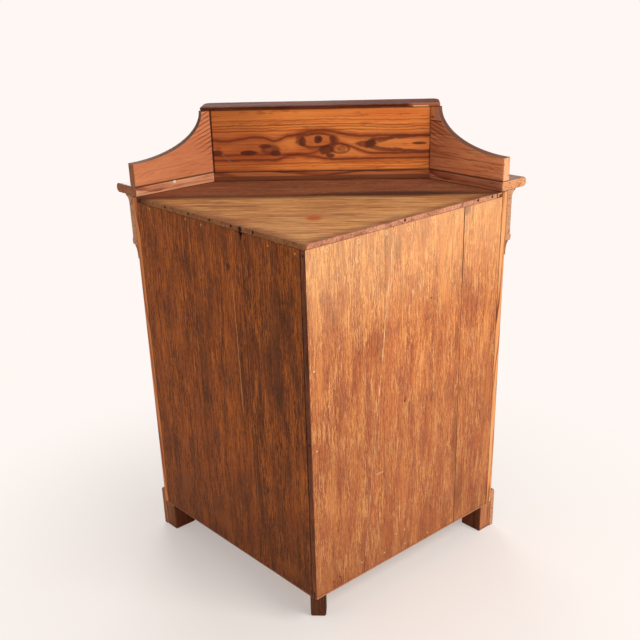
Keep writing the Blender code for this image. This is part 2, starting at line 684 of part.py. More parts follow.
rail_half = DOOR_X - DOOR_STILE + OVOLO
door_rails = []
for name, edge, inward, width in (('door_rail_top', DOOR_HIGH, -1, DOOR_TOP_RAIL),
                                  ('door_rail_foot', DOOR_LOW, 1, DOOR_FOOT_RAIL)):
    section = [(-back, edge + inward * across) for across, back in door_section(width, 0)]
    rail = run(name, section, Vector((rail_half, FRONT_Y, 0)), FRONT_WAY, rail_half * 2,
               finish(name, MAHOGANY, 0.3))
    for cutter in stile_cutters:
        combine(rail, cutter, 'DIFFERENCE')
    door_rails.append(rail)
    tenon_edges = sorted((edge + inward * TENON_SET, edge + inward * (TENON_SET + TENON_WIDE)))
    tenon_y = (FRONT_Y + PANEL_BACK + SEAT, FRONT_Y + PANEL_BACK + groove_width - SEAT)
    for hand in (1, -1):
        reach = sorted((hand * (DOOR_X - DOOR_STILE - OVERRUN),
                        hand * (DOOR_X - DOOR_STILE + TENON)))
        tenon = block('tenon_' + name + str(hand), (reach[0], tenon_y[0], tenon_edges[0]),
                      (reach[1], tenon_y[1], tenon_edges[1]), None)
        combine(rail, tenon, 'UNION')
        reach = sorted((hand * (DOOR_X - DOOR_STILE - OVERRUN),
                        hand * (DOOR_X - DOOR_STILE + TENON + SEAT)))
        mortise = block('mortise_' + name + str(hand),
                        (reach[0], tenon_y[0] - SEAT, tenon_edges[0] - SEAT),
                        (reach[1], tenon_y[1] + SEAT, tenon_edges[1] + SEAT), None)
        combine(door_stiles[hand], mortise, 'DIFFERENCE')

panel_x = DOOR_X - DOOR_STILE + PANEL_GROOVE - PANEL_PLAY
door_panel = block('door_panel',
                   (-panel_x, FRONT_Y + PANEL_BACK + SEAT,
                    DOOR_LOW + DOOR_FOOT_RAIL - PANEL_GROOVE + PANEL_PLAY),
                   (panel_x, FRONT_Y + PANEL_BACK + SEAT + PANEL,
                    DOOR_HIGH - DOOR_TOP_RAIL + PANEL_GROOVE - PANEL_PLAY),
                   finish('door_panel', MAHOGANY, 0.3), None, 0)

# Butt hinges at the left-hand edge of the door, let into its edge and the stile's
HINGE_RISE = 0.060
HINGE_SET = 0.085       # from the door's end to the middle of a hinge
LEAF = 0.0011
LEAF_WIDE = 0.017
KNUCKLE = 0.0035
KNUCKLE_COUNT = 5
PIN = 0.0014
PIN_PLAY = 0.0003
HINGE_X = -(DOOR_HALF - DOOR_GAP * 0.5)
HINGE_Y = FRONT_Y - KNUCKLE - SEAT
knuckle_rise = HINGE_RISE / KNUCKLE_COUNT
hinge_door_leaves = []


def hinge_leaf(name, hand, middle, numbers, shorten):
    """One leaf with the knuckles of the given numbers. hand is 1 for the leaf on the door."""
    low = middle - HINGE_RISE * 0.5
    thick = sorted((HINGE_X + hand * HALF_SEAT, HINGE_X + hand * (HALF_SEAT + LEAF)))
    leaf = block(name, (thick[0], FRONT_Y, low), (thick[1], FRONT_Y + LEAF_WIDE, low + HINGE_RISE),
                 finish(name, BRASS, 0.35, 1.0), None, 0)
    for number in numbers:
        bottom = low + knuckle_rise * number + shorten
        top = low + knuckle_rise * (number + 1) - shorten
        tab = block(name + '_tab' + str(number), (thick[0], HINGE_Y, bottom),
                    (thick[1], FRONT_Y + LEAF, top), None)
        combine(leaf, tab, 'UNION')
        barrel = pin(name + '_barrel' + str(number), KNUCKLE, bottom, top, HINGE_X, HINGE_Y,
                     None, 16)
        combine(leaf, barrel, 'UNION')
    return leaf


for place, middle in (('top', DOOR_HIGH - HINGE_SET), ('foot', DOOR_LOW + HINGE_SET)):
    low = middle - HINGE_RISE * 0.5
    fixed = hinge_leaf('hinge_' + place + '_stile_leaf', -1, middle, (0, 2, 4), 0)
    stem = pin('hinge_' + place + '_pin', PIN, low + OVERRUN, low + HINGE_RISE - OVERRUN,
               HINGE_X, HINGE_Y, None, 12)
    combine(fixed, stem, 'UNION')
    moving = hinge_leaf('hinge_' + place + '_door_leaf', 1, middle, (1, 3), SEAT)
    bore = pin('hinge_' + place + '_bore', PIN + PIN_PLAY, low, low + HINGE_RISE,
               HINGE_X, HINGE_Y, None, 12)
    combine(moving, bore, 'DIFFERENCE')
    hinge_door_leaves.append(moving)
    depth = HALF_SEAT + LEAF + SEAT
    housing = block('cut_housing_' + place,
                    (HINGE_X - depth, FRONT_Y - OVERRUN, low - SEAT),
                    (HINGE_X + depth, FRONT_Y + LEAF_WIDE + SEAT, low + HINGE_RISE + SEAT), None)
    combine(front_stiles[-1], housing, 'DIFFERENCE')
    combine(door_stiles[-1], housing, 'DIFFERENCE')

# Lock on the back of the door's right-hand stile. Its bolt shoots behind the front stile.
KEY_SET = 0.030         # from the door's edge to the key
LOCK_LONG = 0.054
LOCK_RISE = 0.044
LOCK_DEEP = 0.010
LOCK_WALL = 0.0015
LOCK_LIFT = 0.005       # the lock's middle stands this much above the key
BOLT_RISE = 0.010
BOLT = 0.0065
BOLT_LONG = 0.044
BOLT_LIFT = 0.0115      # from the key's axis to the bolt's lower edge
KEY_STEM = 0.0020
KEYHOLE = 0.0030
BIT = 0.008
BIT_THICK = 0.0022
BIT_DEEP = 0.005
BIT_BACK = 0.003        # from the door's back to the bit
BOW = 0.011
BOW_WIRE = 0.0018
KEY_OUT = 0.024         # from the door's face to the bow
lock_z = (DOOR_LOW + DOOR_HIGH) * 0.5
key_x = DOOR_X - KEY_SET
lock_y = FRONT_Y + STILE + SEAT
lock_high = lock_z + LOCK_LIFT + LOCK_RISE * 0.5
lock_low = lock_high - LOCK_RISE
lock_case = block('lock_case', (DOOR_X - LOCK_LONG, lock_y, lock_low),
                  (DOOR_X, lock_y + LOCK_DEEP, lock_high), finish('lock_case', BRASS, 0.4, 1.0),
                  None, 0)
hollow = block('cut_lock', (DOOR_X - LOCK_LONG + LOCK_WALL, lock_y - OVERRUN,
                            lock_low + LOCK_WALL),
               (DOOR_X - LOCK_WALL, lock_y + LOCK_DEEP - LOCK_WALL, lock_high - LOCK_WALL), None)
combine(lock_case, hollow, 'DIFFERENCE')
bolt_y = lock_y + LOCK_DEEP - LOCK_WALL - SEAT - BOLT
bolt_low = lock_z + BOLT_LIFT
lock_bolt = block('lock_bolt', (DOOR_X - BOLT_LONG, bolt_y, bolt_low),
                  (DOOR_X, bolt_y + BOLT, bolt_low + BOLT_RISE),
                  finish('lock_bolt', BRASS, 0.35, 1.0), None, 0)
slot = block('cut_bolt_slot', (DOOR_X - LOCK_WALL - OVERRUN, bolt_y - SEAT, bolt_low - SEAT),
             (DOOR_X + OVERRUN, bolt_y + BOLT + SEAT, bolt_low + BOLT_RISE + SEAT), None)
combine(lock_case, slot, 'DIFFERENCE')

bit_low = lock_z - BIT
bit_y = FRONT_Y + STILE + BIT_BACK
key_tip = bit_y + BIT_DEEP
key_stem_start = FRONT_Y - KEY_OUT - BOW_WIRE
key_stem = key_tip - key_stem_start
level = Matrix.Rotation(math.radians(-90), 4, 'X')
key_mesh = bpy.data.meshes.new('key')
shape = bmesh.new()
bmesh.ops.create_cone(shape, cap_ends=True, segments=12, radius1=KEY_STEM, radius2=KEY_STEM,
                      depth=key_stem, matrix=Matrix.Translation((0, key_stem * 0.5, 0)) @ level)
shape.to_mesh(key_mesh)
shape.free()
key_home = Matrix.Translation((key_x, key_stem_start, lock_z))
key = placed('key', key_mesh, key_home, finish('key', STEEL, 0.4, 1.0), 0)
bit = block('key_bit', (key_x - BIT_THICK * 0.5, bit_y, bit_low),
            (key_x + BIT_THICK * 0.5, key_tip - SEAT, lock_z), None)
combine(key, bit, 'UNION')
bpy.ops.mesh.primitive_torus_add(major_segments=20, minor_segments=8, major_radius=BOW,
                                 minor_radius=BOW_WIRE,
                                 location=(key_x, key_stem_start - BOW + BOW_WIRE * 0.5, lock_z),
                                 rotation=(0, math.radians(90), 0))
bow = bpy.context.active_object
bow.name = 'key_bow'
for home in list(bow.users_collection):
    home.objects.unlink(bow)
cutters.objects.link(bow)
bow.hide_render = True
bow.display_type = 'WIRE'
combine(key, bow, 'UNION')

keyhole_mesh = bpy.data.meshes.new('cut_keyhole')
shape = bmesh.new()
hole_long = STILE + OVERRUN * 2
bmesh.ops.create_cone(shape, cap_ends=True, segments=12, radius1=KEYHOLE, radius2=KEYHOLE,
                      depth=hole_long, matrix=level)
shape.to_mesh(keyhole_mesh)
shape.free()
keyhole = placed('cut_keyhole', keyhole_mesh,
                 Matrix.Translation((key_x, FRONT_Y + STILE * 0.5, lock_z)), None)
hole_play = KEYHOLE - KEY_STEM
keyway = block('cut_keyway', (key_x - BIT_THICK * 0.5 - hole_play * 0.5, FRONT_Y - OVERRUN,
                              bit_low - hole_play),
               (key_x + BIT_THICK * 0.5 + hole_play * 0.5, FRONT_Y + STILE + OVERRUN, lock_z),
               None)
combine(door_stiles[1], keyhole, 'DIFFERENCE')
combine(door_stiles[1], keyway, 'DIFFERENCE')


def carrier(name, place, pieces):
    """An empty on a joint's axis, which carries the pieces that move with it."""
    empty = bpy.data.objects.new(name, None)
    empty.location = place
    cabinet.objects.link(empty)
    bpy.context.view_layer.update()
    for piece in pieces:
        piece.parent = empty
        piece.matrix_parent_inverse = empty.matrix_world.inverted()
    return empty


# The door swings on its hinge pins and carries the lock. The drawer slides straight out.
carrier('door_swing', (HINGE_X, HINGE_Y, DOOR_LOW),
        [*door_stiles.values(), *door_rails, door_panel, *hinge_door_leaves, lock_case,
         lock_bolt, key])
carrier('drawer_slide', (0, FRONT_Y, DRAWER_Z),
        [drawer_facing, drawer_front, *drawer_sides, drawer_back, drawer_bottom])
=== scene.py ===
import math

import bpy
import numpy as np
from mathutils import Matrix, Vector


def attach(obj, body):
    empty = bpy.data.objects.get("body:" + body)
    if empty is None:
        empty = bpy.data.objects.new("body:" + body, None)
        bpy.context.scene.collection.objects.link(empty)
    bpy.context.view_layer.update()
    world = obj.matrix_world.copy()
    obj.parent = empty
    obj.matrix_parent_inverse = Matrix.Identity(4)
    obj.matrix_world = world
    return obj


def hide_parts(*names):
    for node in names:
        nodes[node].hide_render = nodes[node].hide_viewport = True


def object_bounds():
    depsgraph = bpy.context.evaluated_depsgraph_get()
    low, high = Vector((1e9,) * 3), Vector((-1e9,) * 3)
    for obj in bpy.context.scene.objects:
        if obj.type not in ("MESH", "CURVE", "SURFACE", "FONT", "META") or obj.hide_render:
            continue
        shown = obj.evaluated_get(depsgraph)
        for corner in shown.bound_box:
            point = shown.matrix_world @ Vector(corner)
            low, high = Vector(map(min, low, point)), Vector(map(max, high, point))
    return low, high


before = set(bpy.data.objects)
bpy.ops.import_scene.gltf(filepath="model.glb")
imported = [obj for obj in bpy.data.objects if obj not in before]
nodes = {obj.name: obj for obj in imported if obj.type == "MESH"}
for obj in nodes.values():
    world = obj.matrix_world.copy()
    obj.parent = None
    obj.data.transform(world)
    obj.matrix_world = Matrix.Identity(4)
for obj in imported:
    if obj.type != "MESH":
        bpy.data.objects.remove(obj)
cad_box = [list(corner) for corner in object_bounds()]

# Back planks. Six sawn oak boards stand upright round the rear corner, three on each wall, and
# the left wall's inner one laps the right wall's. They are nailed through to the top boards and
# the bottom. One joint of the left wall leans, because its two planks were sawn tapered.
WALL = 0.620
FOOT = 0.074
PLANK_TOP = 0.894
PLANK = 0.014
PLANK_GAP = 0.0012
SIDE = 0.018
SEAT = 0.0003
SQUARE = math.sqrt(0.5)
REAR_Y = -cad_box[0][1]
HANDS = ((1, 'right'), (-1, 'left'))
RIGHTWARDS, REARWARDS, UP = np.eye(3)


def plan(hand, along, inward=0.0, height=0.0):
    """A place on a back wall: along it from the rear corner, square in from it, and up.

    hand is 1 for the wall on the right of the front and -1 for the one on its left.
    """
    return np.array((hand * (along - inward) * SQUARE, REAR_Y - (along + inward) * SQUARE,
                     height))


def away(hand):
    """Direction along a back wall, from the rear corner to the return."""
    return np.array((hand * SQUARE, -SQUARE, 0.0))


def inwards(hand):
    """Direction square in from a back wall, which is also that of its return."""
    return np.array((-hand * SQUARE, -SQUARE, 0.0))


def shade(*levels):
    """A colour written as a screen shows it, 0 to 255, turned into the light it reflects."""
    return tuple(((level / 255 + 0.055) / 1.055) ** 2.4 for level in levels)


def unevenness(seed, u, v, long, wide):
    """Smooth random heights from 0 to 1: a lattice of random numbers whose cells measure long by
    wide, blended inside each cell by a smooth step from knot to knot."""
    lattice = np.random.default_rng(seed).random((64, 64))
    u, v = u / long, v / wide
    i, j = np.floor(u).astype(int), np.floor(v).astype(int)
    s, t = u - i, v - j
    s, t = s * s * (3 - 2 * s), t * t * (3 - 2 * t)
    near = lattice[i % 64, j % 64] * (1 - s) + lattice[(i + 1) % 64, j % 64] * s
    far = lattice[i % 64, (j + 1) % 64] * (1 - s) + lattice[(i + 1) % 64, (j + 1) % 64] * s
    return near * (1 - t) + far * t


def board(origin, grain, across, out, ends, edges, thick, rows, columns, arris=0.0008,
          dent=None, splay=(0, 0)):
    """A board with broken arrises, as rings of points that go round its section.

    ends(a, d) gives where it starts and stops along the grain, edges(t) its two edges at a share
    t of the length, and dent(g, a) how deep its show face is sunk. splay moves each edge with
    the depth, which makes a mitre. Comes back as points, distances to the arris, and sides.
    """
    arc = np.radians((60, 30, 0))
    face = np.linspace(0, 1, columns) if np.isscalar(columns) else np.asarray(columns)
    rear = np.linspace(1, 0, max(len(face) // 5, 5))
    cos, sin = 1 - np.cos(arc), 1 - np.sin(arc)
    none, one = np.zeros(3), np.ones(3)
    share = np.concatenate((face, one, (1,), one, rear, none, (0,), none))
    shift = arris * np.concatenate((1 - 2 * face, -cos, (0,), -cos[::-1], 1 - 2 * rear, cos, (0,),
                                    cos[::-1]))
    depth = np.concatenate((face * 0, -arris * sin, (-thick / 2,), arris * sin[::-1] - thick,
                            rear * 0 - thick, arris * sin - thick, (-thick / 2,),
                            -arris * sin[::-1]))
    sunk = np.concatenate((face * 0 + 1, 1 - sin, (0,), none, rear * 0, none, (0,),
                           1 - sin[::-1]))
    inner = np.linspace(0, 1, rows) if np.isscalar(rows) else np.asarray(rows)
    sides = np.tile(np.repeat((0, 1, 2, 3), (len(face), 7, len(rear), 7)), (len(inner) + 5, 1))
    sides[0], sides[-1] = 4, 5
    t = np.concatenate(((0, 0, 0), inner, (1, 1, 1)))[:, None]
    step = arris * np.concatenate(((0, 0, 0.29), 1 - 2 * inner, (-0.29, 0, 0)))[:, None]
    deep = min(0.0035, thick * 0.3)
    inset = np.concatenate(((deep, arris, arris * 0.29), inner * 0,
                            (arris * 0.29, arris, deep)))[:, None]
    left, right = edges(t)
    d = depth + t * 0
    a = left + (right - left) * share + shift + d * (splay[0] * (1 - share) + splay[1] * share)
    middle, half = (left + right) / 2, (right - left) / 2
    a = middle + (a - middle) * (1 - inset / half)
    d = (d + thick / 2) * (1 - inset * 2 / thick) - thick / 2
    start, stop = ends(a, d)
    g = start + (stop - start) * t + step
    rims = (np.minimum(a - left, right - a), np.minimum(-d, d + thick),
            np.minimum(g - start, stop - g))
    rim = np.sort(np.stack(np.broadcast_arrays(*rims)), axis=0)[1]
    if dent is not None:
        d = d - dent(g, a) * sunk
    g, a, d = (value[..., None] for value in np.broadcast_arrays(g, a, d))
    return origin + g * grain + a * across + d * out, np.maximum(rim, 0), sides


def straight(low, high):
    """Two edges, or two ends, that keep their place all along a board."""
    return lambda t, d=0: (low + t * 0, high + t * 0)


def skin(name, rings, body, slot, materials, paint=(0, 0, 0, 0), ends=(0, 0), stands_for=None):
    """Make a piece of the rings from board() or moulding(): faces between neighbouring rings and
    one flat face at each end. paint gives the material of each side, ends that of the ends. The
    faces are turned outwards if the volume that they enclose comes out negative."""
    points, rim, sides = rings
    rows, around = points.shape[:2]
    at = np.arange(rows * around).reshape(rows, around)
    beside = np.roll(at, -1, axis=1)
    walls = np.stack((at[:-1], beside[:-1], beside[1:], at[1:]), axis=-1).reshape(-1, 4)
    flat = points.reshape(-1, 3)
    place = flat - flat.mean(axis=0)
    corners = [place[walls[:, number]] for number in range(4)]
    volume = sum((np.cross(corners[0], corners[number]) * corners[number + 1]).sum()
                 for number in (1, 2))
    faces = walls.tolist() + [at[0][::-1].tolist(), at[-1].tolist()]
    if volume < 0:
        faces = [corner[::-1] for corner in faces]
    mesh = bpy.data.meshes.new(name)
    mesh.from_pydata(flat.tolist(), [], faces)
    for material in materials:
        mesh.materials.append(material)
    index = np.concatenate((np.array((*paint, *ends))[sides].ravel(), ends))
    mesh.polygons.foreach_set('material_index', index.astype(np.int32))
    mesh.polygons.foreach_set('use_smooth', np.ones(len(faces), bool))
    mesh.attributes.new('rim', 'FLOAT', 'POINT').data.foreach_set('value', rim.ravel())
    mesh.set_sharp_from_angle(angle=math.radians(35))
    piece = bpy.data.objects.new(name, mesh)
    bpy.context.scene.collection.objects.link(piece)
    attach(piece, body)
    if stands_for:
        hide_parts(stands_for)


class Tap:
    """A number or colour that flows out of a node. Sums on taps add the Math nodes for them."""

    def __init__(self, finish, socket):
        self.finish = finish
        self.socket = socket

    def __abs__(self):
        return self.finish.number('ABSOLUTE', self)

    def __add__(self, other):
        return self.finish.number('ADD', self, other)

    __radd__ = __add__

    def __sub__(self, other):
        return self.finish.number('SUBTRACT', self, other)

    def __rsub__(self, other):
        return self.finish.number('SUBTRACT', other, self)

    def __mul__(self, other):
        return self.finish.number('MULTIPLY', self, other)

    __rmul__ = __mul__

    def __truediv__(self, other):
        return self.finish.number('DIVIDE', self, other)

    def __rtruediv__(self, other):
        return self.finish.number('DIVIDE', other, self)

    def __pow__(self, other):
        return self.finish.number('POWER', self, other)


class Finish:
    """One material: the wood's directions, its figure, and what use has done to its surface."""

    def __init__(self, name, origin=(0, 0, 0), grain=(0, 0, 1), across=(1, 0, 0), wriggle=0.0):
        self.material = bpy.data.materials.new(name)
        self.material.use_nodes = True
        self.tree = self.material.node_tree
        self.shader = self.tree.nodes['Principled BSDF']
        self.point = self.node('ShaderNodeTexCoord', out='Object')
        self.g = self.reach(origin, grain)
        self.a = self.reach(origin, across)
        self.d = self.reach(origin, np.cross(grain, across))
        self.place = self.node('ShaderNodeCombineXYZ', None, {0: self.g, 1: self.a, 2: self.d})
        self.thinned = self.crumbled = None
        if wriggle:
            self.a = (self.a + (self.noise(0.013, 0.009, 2) - 0.5) * wriggle
                      + (self.noise(0.005, 0.0022, 1, 8.0) - 0.5) * wriggle * 0.35)
            self.place = self.node('ShaderNodeCombineXYZ', None,
                                   {0: self.g, 1: self.a, 2: self.d})

    def node(self, kind, settings=None, values=None, out=0):
        """Add a node of a kind: its settings first, then the values or links of its sockets."""
        made = self.tree.nodes.new(kind)
        for what, value in (settings or {}).items():
            if what == 'stops':
                stops = made.color_ramp.elements
                for number, (place, colour) in enumerate(value):
                    stop = stops[number] if number < 2 else stops.new(place)
                    stop.position = place
                    stop.color = (*colour, 1)
            else:
                setattr(made, what, value)
        for where, value in (values or {}).items():
            socket = made.inputs[where]
            if isinstance(value, Tap):
                self.tree.links.new(value.socket, socket)
            elif socket.type == 'RGBA':
                socket.default_value = (*value, 1)
            elif socket.type != 'VALUE' or socket.default_value != value:
                socket.default_value = value
        return Tap(self, made.outputs[out])

    def number(self, operation, first, second=0.0):
        return self.node('ShaderNodeMath', {'operation': operation}, {0: first, 1: second})

    def reach(self, origin, way):
        """How far the point lies from the origin along a direction."""
        way = [float(value) for value in way]
        along = self.node('ShaderNodeVectorMath', {'operation': 'DOT_PRODUCT'},
                          {0: self.point, 1: way}, 'Value')
        return along - float(np.dot(origin, way))

    def ease(self, value, low, high, full=1.0):
        """A mask that climbs smoothly from 0 at low to full at high, or falls if high is lower."""
        turned = {'From Min': min(low, high), 'From Max': max(low, high),
                  'To Min': full * (low > high), 'To Max': full * (low < high)}
        return self.node('ShaderNodeMapRange', {'interpolation_type': 'SMOOTHSTEP'},
                         {'Value': value, **turned})

    def scaled(self, g, a, long, wide, deep=math.inf):
        """The point from a place on the show face, in parts of a length, width and depth."""
        return self.node('ShaderNodeVectorMath', {'operation': 'MULTIPLY_ADD'},
                         {0: self.place, 1: (1 / long, 1 / wide, 1 / deep),
                          2: (-g / long, -a / wide, 0)})

    def noise(self, long, wide, detail=2.0, shift=0.0, rough=0.5):
        """Soft noise from 0 to 1, long along the grain and wide across it."""
        return self.node('ShaderNodeTexNoise', None,
                         {'Vector': self.scaled(-shift, 0, long, wide, wide), 'Scale': 1.0,
                          'Detail': detail, 'Roughness': rough})

    def oval(self, g, a, long, wide):
        """Distance from a place on the show face, which is 1 on the oval of that reach."""
        return self.node('ShaderNodeVectorMath', {'operation': 'LENGTH'},
                         {0: self.scaled(g, a, long, wide)}, 'Value')

    def mix(self, below, above, share, blend='MIX'):
        return self.node('ShaderNodeMix', {'data_type': 'RGBA', 'blend_type': blend},
                         {0: share, 6: below, 7: above}, 2)

    def blot(self, g, a, long, wide, soft=0.5, ragged=0.0):
        """A mask for one oval mark on the show face."""
        reach = self.oval(g, a, long, wide)
        if ragged:
            if self.crumbled is None:
                self.crumbled = self.noise(0.03, 0.02, 3) - 0.5
            reach = reach + self.crumbled * ragged
        return self.ease(reach, 1 + soft, 1 - soft)

    def nearest(self, places):
        """Distance to the nearest of several places in the cabinet."""
        least = 1.0
        for place in places:
            reach = self.node('ShaderNodeVectorMath', {'operation': 'DISTANCE'},
                              {0: self.point, 1: [float(value) for value in place]}, 'Value')
            least = self.number('MINIMUM', least, reach)
        return least

    def stain(self, mask, colour, sink=0.0):
        """Lay a colour over the wood where the mask is, and sink or raise the surface there."""
        self.colour = self.mix(self.colour, shade(*colour), mask)
        if sink:
            self.height = self.height - mask * sink
        return self

    def figure(self, wood, tones, heart, slant=(0.0, 0.0), shift=0.0, knots=(), bold=1.0):
        """Growth rings are cones about the heart of the tree. A ring's number at a point is its
        distance from the heart's line, bent by slow noise and bulged at each knot, over the
        ring's width; its last part is the darker late wood, where bold makes it so. Streaks,
        fibres, pores and patches are noise stretched along the grain. tones run from the palest
        colour to the darkest."""
        drift = self.noise(*wood['drift'], 2, shift)
        ripple = self.noise(*wood['ripple'], 2, shift)
        side = self.a - heart[0] - self.g * slant[0]
        deep = self.d - heart[1] - self.g * slant[1]
        radius = (side * side + deep * deep) ** 0.5
        radius = radius + (drift - 0.5) * wood['bend'] + (ripple - 0.5) * wood['shake']
        for g, a, long, wide, push in knots:
            radius = radius + self.ease(self.oval(g, a, long, wide), 2.0, 0.0, push)
        part = self.number('FRACT', radius / wood['ring'])
        late = self.ease(part, wood['early'], 0.92) * self.ease(part, 1.0, 0.94) * bold
        streak = self.noise(*wood['streak'], 3, shift)
        fibre = self.noise(*wood['fibre'], 2, shift)
        patch = self.noise(*wood['patch'], 3, shift + 3.0)
        pores = self.ease(self.noise(*wood['pore'], 1, shift), 0.60, 0.70)
        depth = (0.42 + (late - 0.3) * wood['late'] + (streak - 0.5) * wood['streaky']
                 + (fibre - 0.5) * wood['fibrous'] + (patch - 0.5) * wood['patchy']
                 + pores * wood['porous'])
        stops = [(place, shade(*tone)) for place, tone in zip((0.0, 0.38, 0.68, 1.0), tones)]
        self.colour = self.node('ShaderNodeValToRGB', {'stops': stops}, {0: depth})
        self.height = (streak * 0.5 + fibre * 0.6 - late * wood['late'] * 0.5
                       - pores * wood['porous'])
        self.roughness = wood['rough'] + (fibre - 0.5) * 0.25 + (patch - 0.5) * 0.12
        return self

    def threads(self, colour, long, wide, thick, strength, shift=0.0, sink=0.0, clump=0.0):
        """Threads or flecks along the grain, where stretched noise passes 1 less their share.
        clump thins them out in some places, or in the other places where it is negative."""
        mask = self.ease(self.noise(long, wide, 3, shift, 0.6), 0.70 - thick, 0.80 - thick,
                         strength)
        if clump:
            if self.thinned is None:
                self.thinned = self.ease(self.noise(0.13, 0.035, 3, shift + 5.0), 0.36, 0.62)
            mask = mask * (self.thinned * clump + min(1 - clump, 1))
        return self.stain(mask, colour, sink)

    def contour(self, level, humps, thick, colour, strength=0.8):
        """A line of late wood across the board, at a height that humps up or down at places."""
        height = level + (self.noise(0.03, 0.02, 2, 81.0) - 0.5) * 0.006
        for g, push, wide in humps:
            off = abs(self.g - g)
            height = height + self.ease(off, wide * 2, 0, push)
        off = abs(self.a - height)
        return self.stain(self.ease(off, thick, thick * 0.4, strength), colour)

    def hoop(self, g, a, long, wide, thick, colour, strength=0.8):
        """An oval ring of late wood round a knot."""
        reach = self.oval(g, a, long, wide) + (self.noise(0.03, 0.012, 2, 83.0) - 0.5) * 0.5
        off = abs(reach - 1)
        return self.stain(self.ease(off, thick, thick * 0.3, strength), colour)

    def worn(self, colour, reach=0.003, strength=0.7, ragged=0.6):
        """Rub the arrises, from the distance to the nearest one that the piece carries."""
        rim = self.node('ShaderNodeAttribute', {'attribute_name': 'rim'}, None, 'Fac')
        rub = self.noise(0.02, 0.012, 3, 5.0)
        edge = self.ease(rim / reach + (rub - 0.5) * ragged * 2, 1.0, 0.1) * strength
        return self.stain(edge, colour)

    def close(self, depth=0.0006, strength=0.6, coat=0.0, gloss=0.15):
        """Hand the colour, roughness and relief to the shader."""
        self.tree.links.new(self.colour.socket, self.shader.inputs['Base Color'])
        self.tree.links.new(self.number('MAXIMUM', self.roughness, 0.15).socket,
                            self.shader.inputs['Roughness'])
        relief = self.node('ShaderNodeBump', None, {'Strength': strength, 'Distance': depth,
                                                    'Height': self.height}, 'Normal')
        self.tree.links.new(relief.socket, self.shader.inputs['Normal'])
        self.shader.inputs['Specular IOR Level'].default_value = gloss
        self.shader.inputs['Coat Weight'].default_value = coat
        self.shader.inputs['Coat Roughness'].default_value = 0.2
        return self.material


OAK = {'ring': 0.0075, 'early': 0.35, 'late': 0.10, 'drift': (0.55, 0.10), 'bend': 0.030,
       'ripple': (0.06, 0.012), 'shake': 0.0030, 'streak': (0.075, 0.0036), 'streaky': 1.40,
       'fibre': (0.014, 0.0013), 'fibrous': 1.15, 'patch': (0.20, 0.05), 'patchy': 1.00,
       'pore': (0.007, 0.0006), 'porous': 0.18, 'rough': 0.66}
# Both walls are one oak. OAK_SHADED, THREADS[1], MARK_TONES[1] and the other colours chosen below
# for the wall where hand is 1 are darker than the lit wall's as painted shade, on top of the shade
# that the lamps give.
OAK_LIT = ((226, 138, 78), (200, 110, 64), (174, 89, 54), (114, 58, 42))
OAK_SHADED = ((176, 90, 35), (138, 67, 24), (104, 49, 19), (48, 25, 13))
THREADS = {-1: ((250, 182, 112), (112, 64, 52), (152, 82, 62), (226, 144, 80), (170, 88, 62)),
           1: ((212, 116, 42), (46, 27, 15), (74, 42, 22), (170, 88, 32), (78, 43, 22))}

# How far from the corner each joint lies at its head and foot, the heart of each plank's tree
# behind its face and how that leans, and the middle planks' knots. Then the nails: filled holes,
# bright heads and open pits on the lit wall, and holes with a golden filling on the shaded one.
JOINTS = {1: ((0.2035, 0.2035), (0.3883, 0.3883)), -1: ((0.2450, 0.1505), (0.4702, 0.4702))}
HEARTS = {1: (((0.10, -0.09), (0.00, 0.030)), ((0.31, -0.16), (0.02, 0.02)),
              ((0.62, -0.12), (0.01, -0.02))),
          -1: (((0.05, -0.07), (0.03, 0.035)), ((0.38, -0.11), (-0.03, 0.045)),
               ((0.555, -0.045), (0.0, 0.060)))}
KNOTS = ((0.806, 0.250, 0.016, 0.012, 0.02), (0.7225, 0.311, 0.012, 0.010, 0.015))
FILLED = ((0.058, 0.884), (0.144, 0.883), (0.224, 0.885), (0.290, 0.880), (0.370, 0.884),
          (0.444, 0.883), (0.511, 0.882), (0.565, 0.882))
BRIGHT = ((0.144, 0.109), (0.220, 0.101), (0.291, 0.094), (0.288, 0.136), (0.260, 0.136),
          (0.371, 0.090), (0.460, 0.087), (0.562, 0.078), (0.016, 0.452), (0.014, 0.637))
PITTED = ((0.073, 0.103), (0.054, 0.098), (0.284, 0.4815), (0.366, 0.709))
GOLDEN = ((0.403, 0.887), (0.345, 0.884), (0.114, 0.882), (0.088, 0.895), (0.030, 0.882),
          (0.549, 0.886))
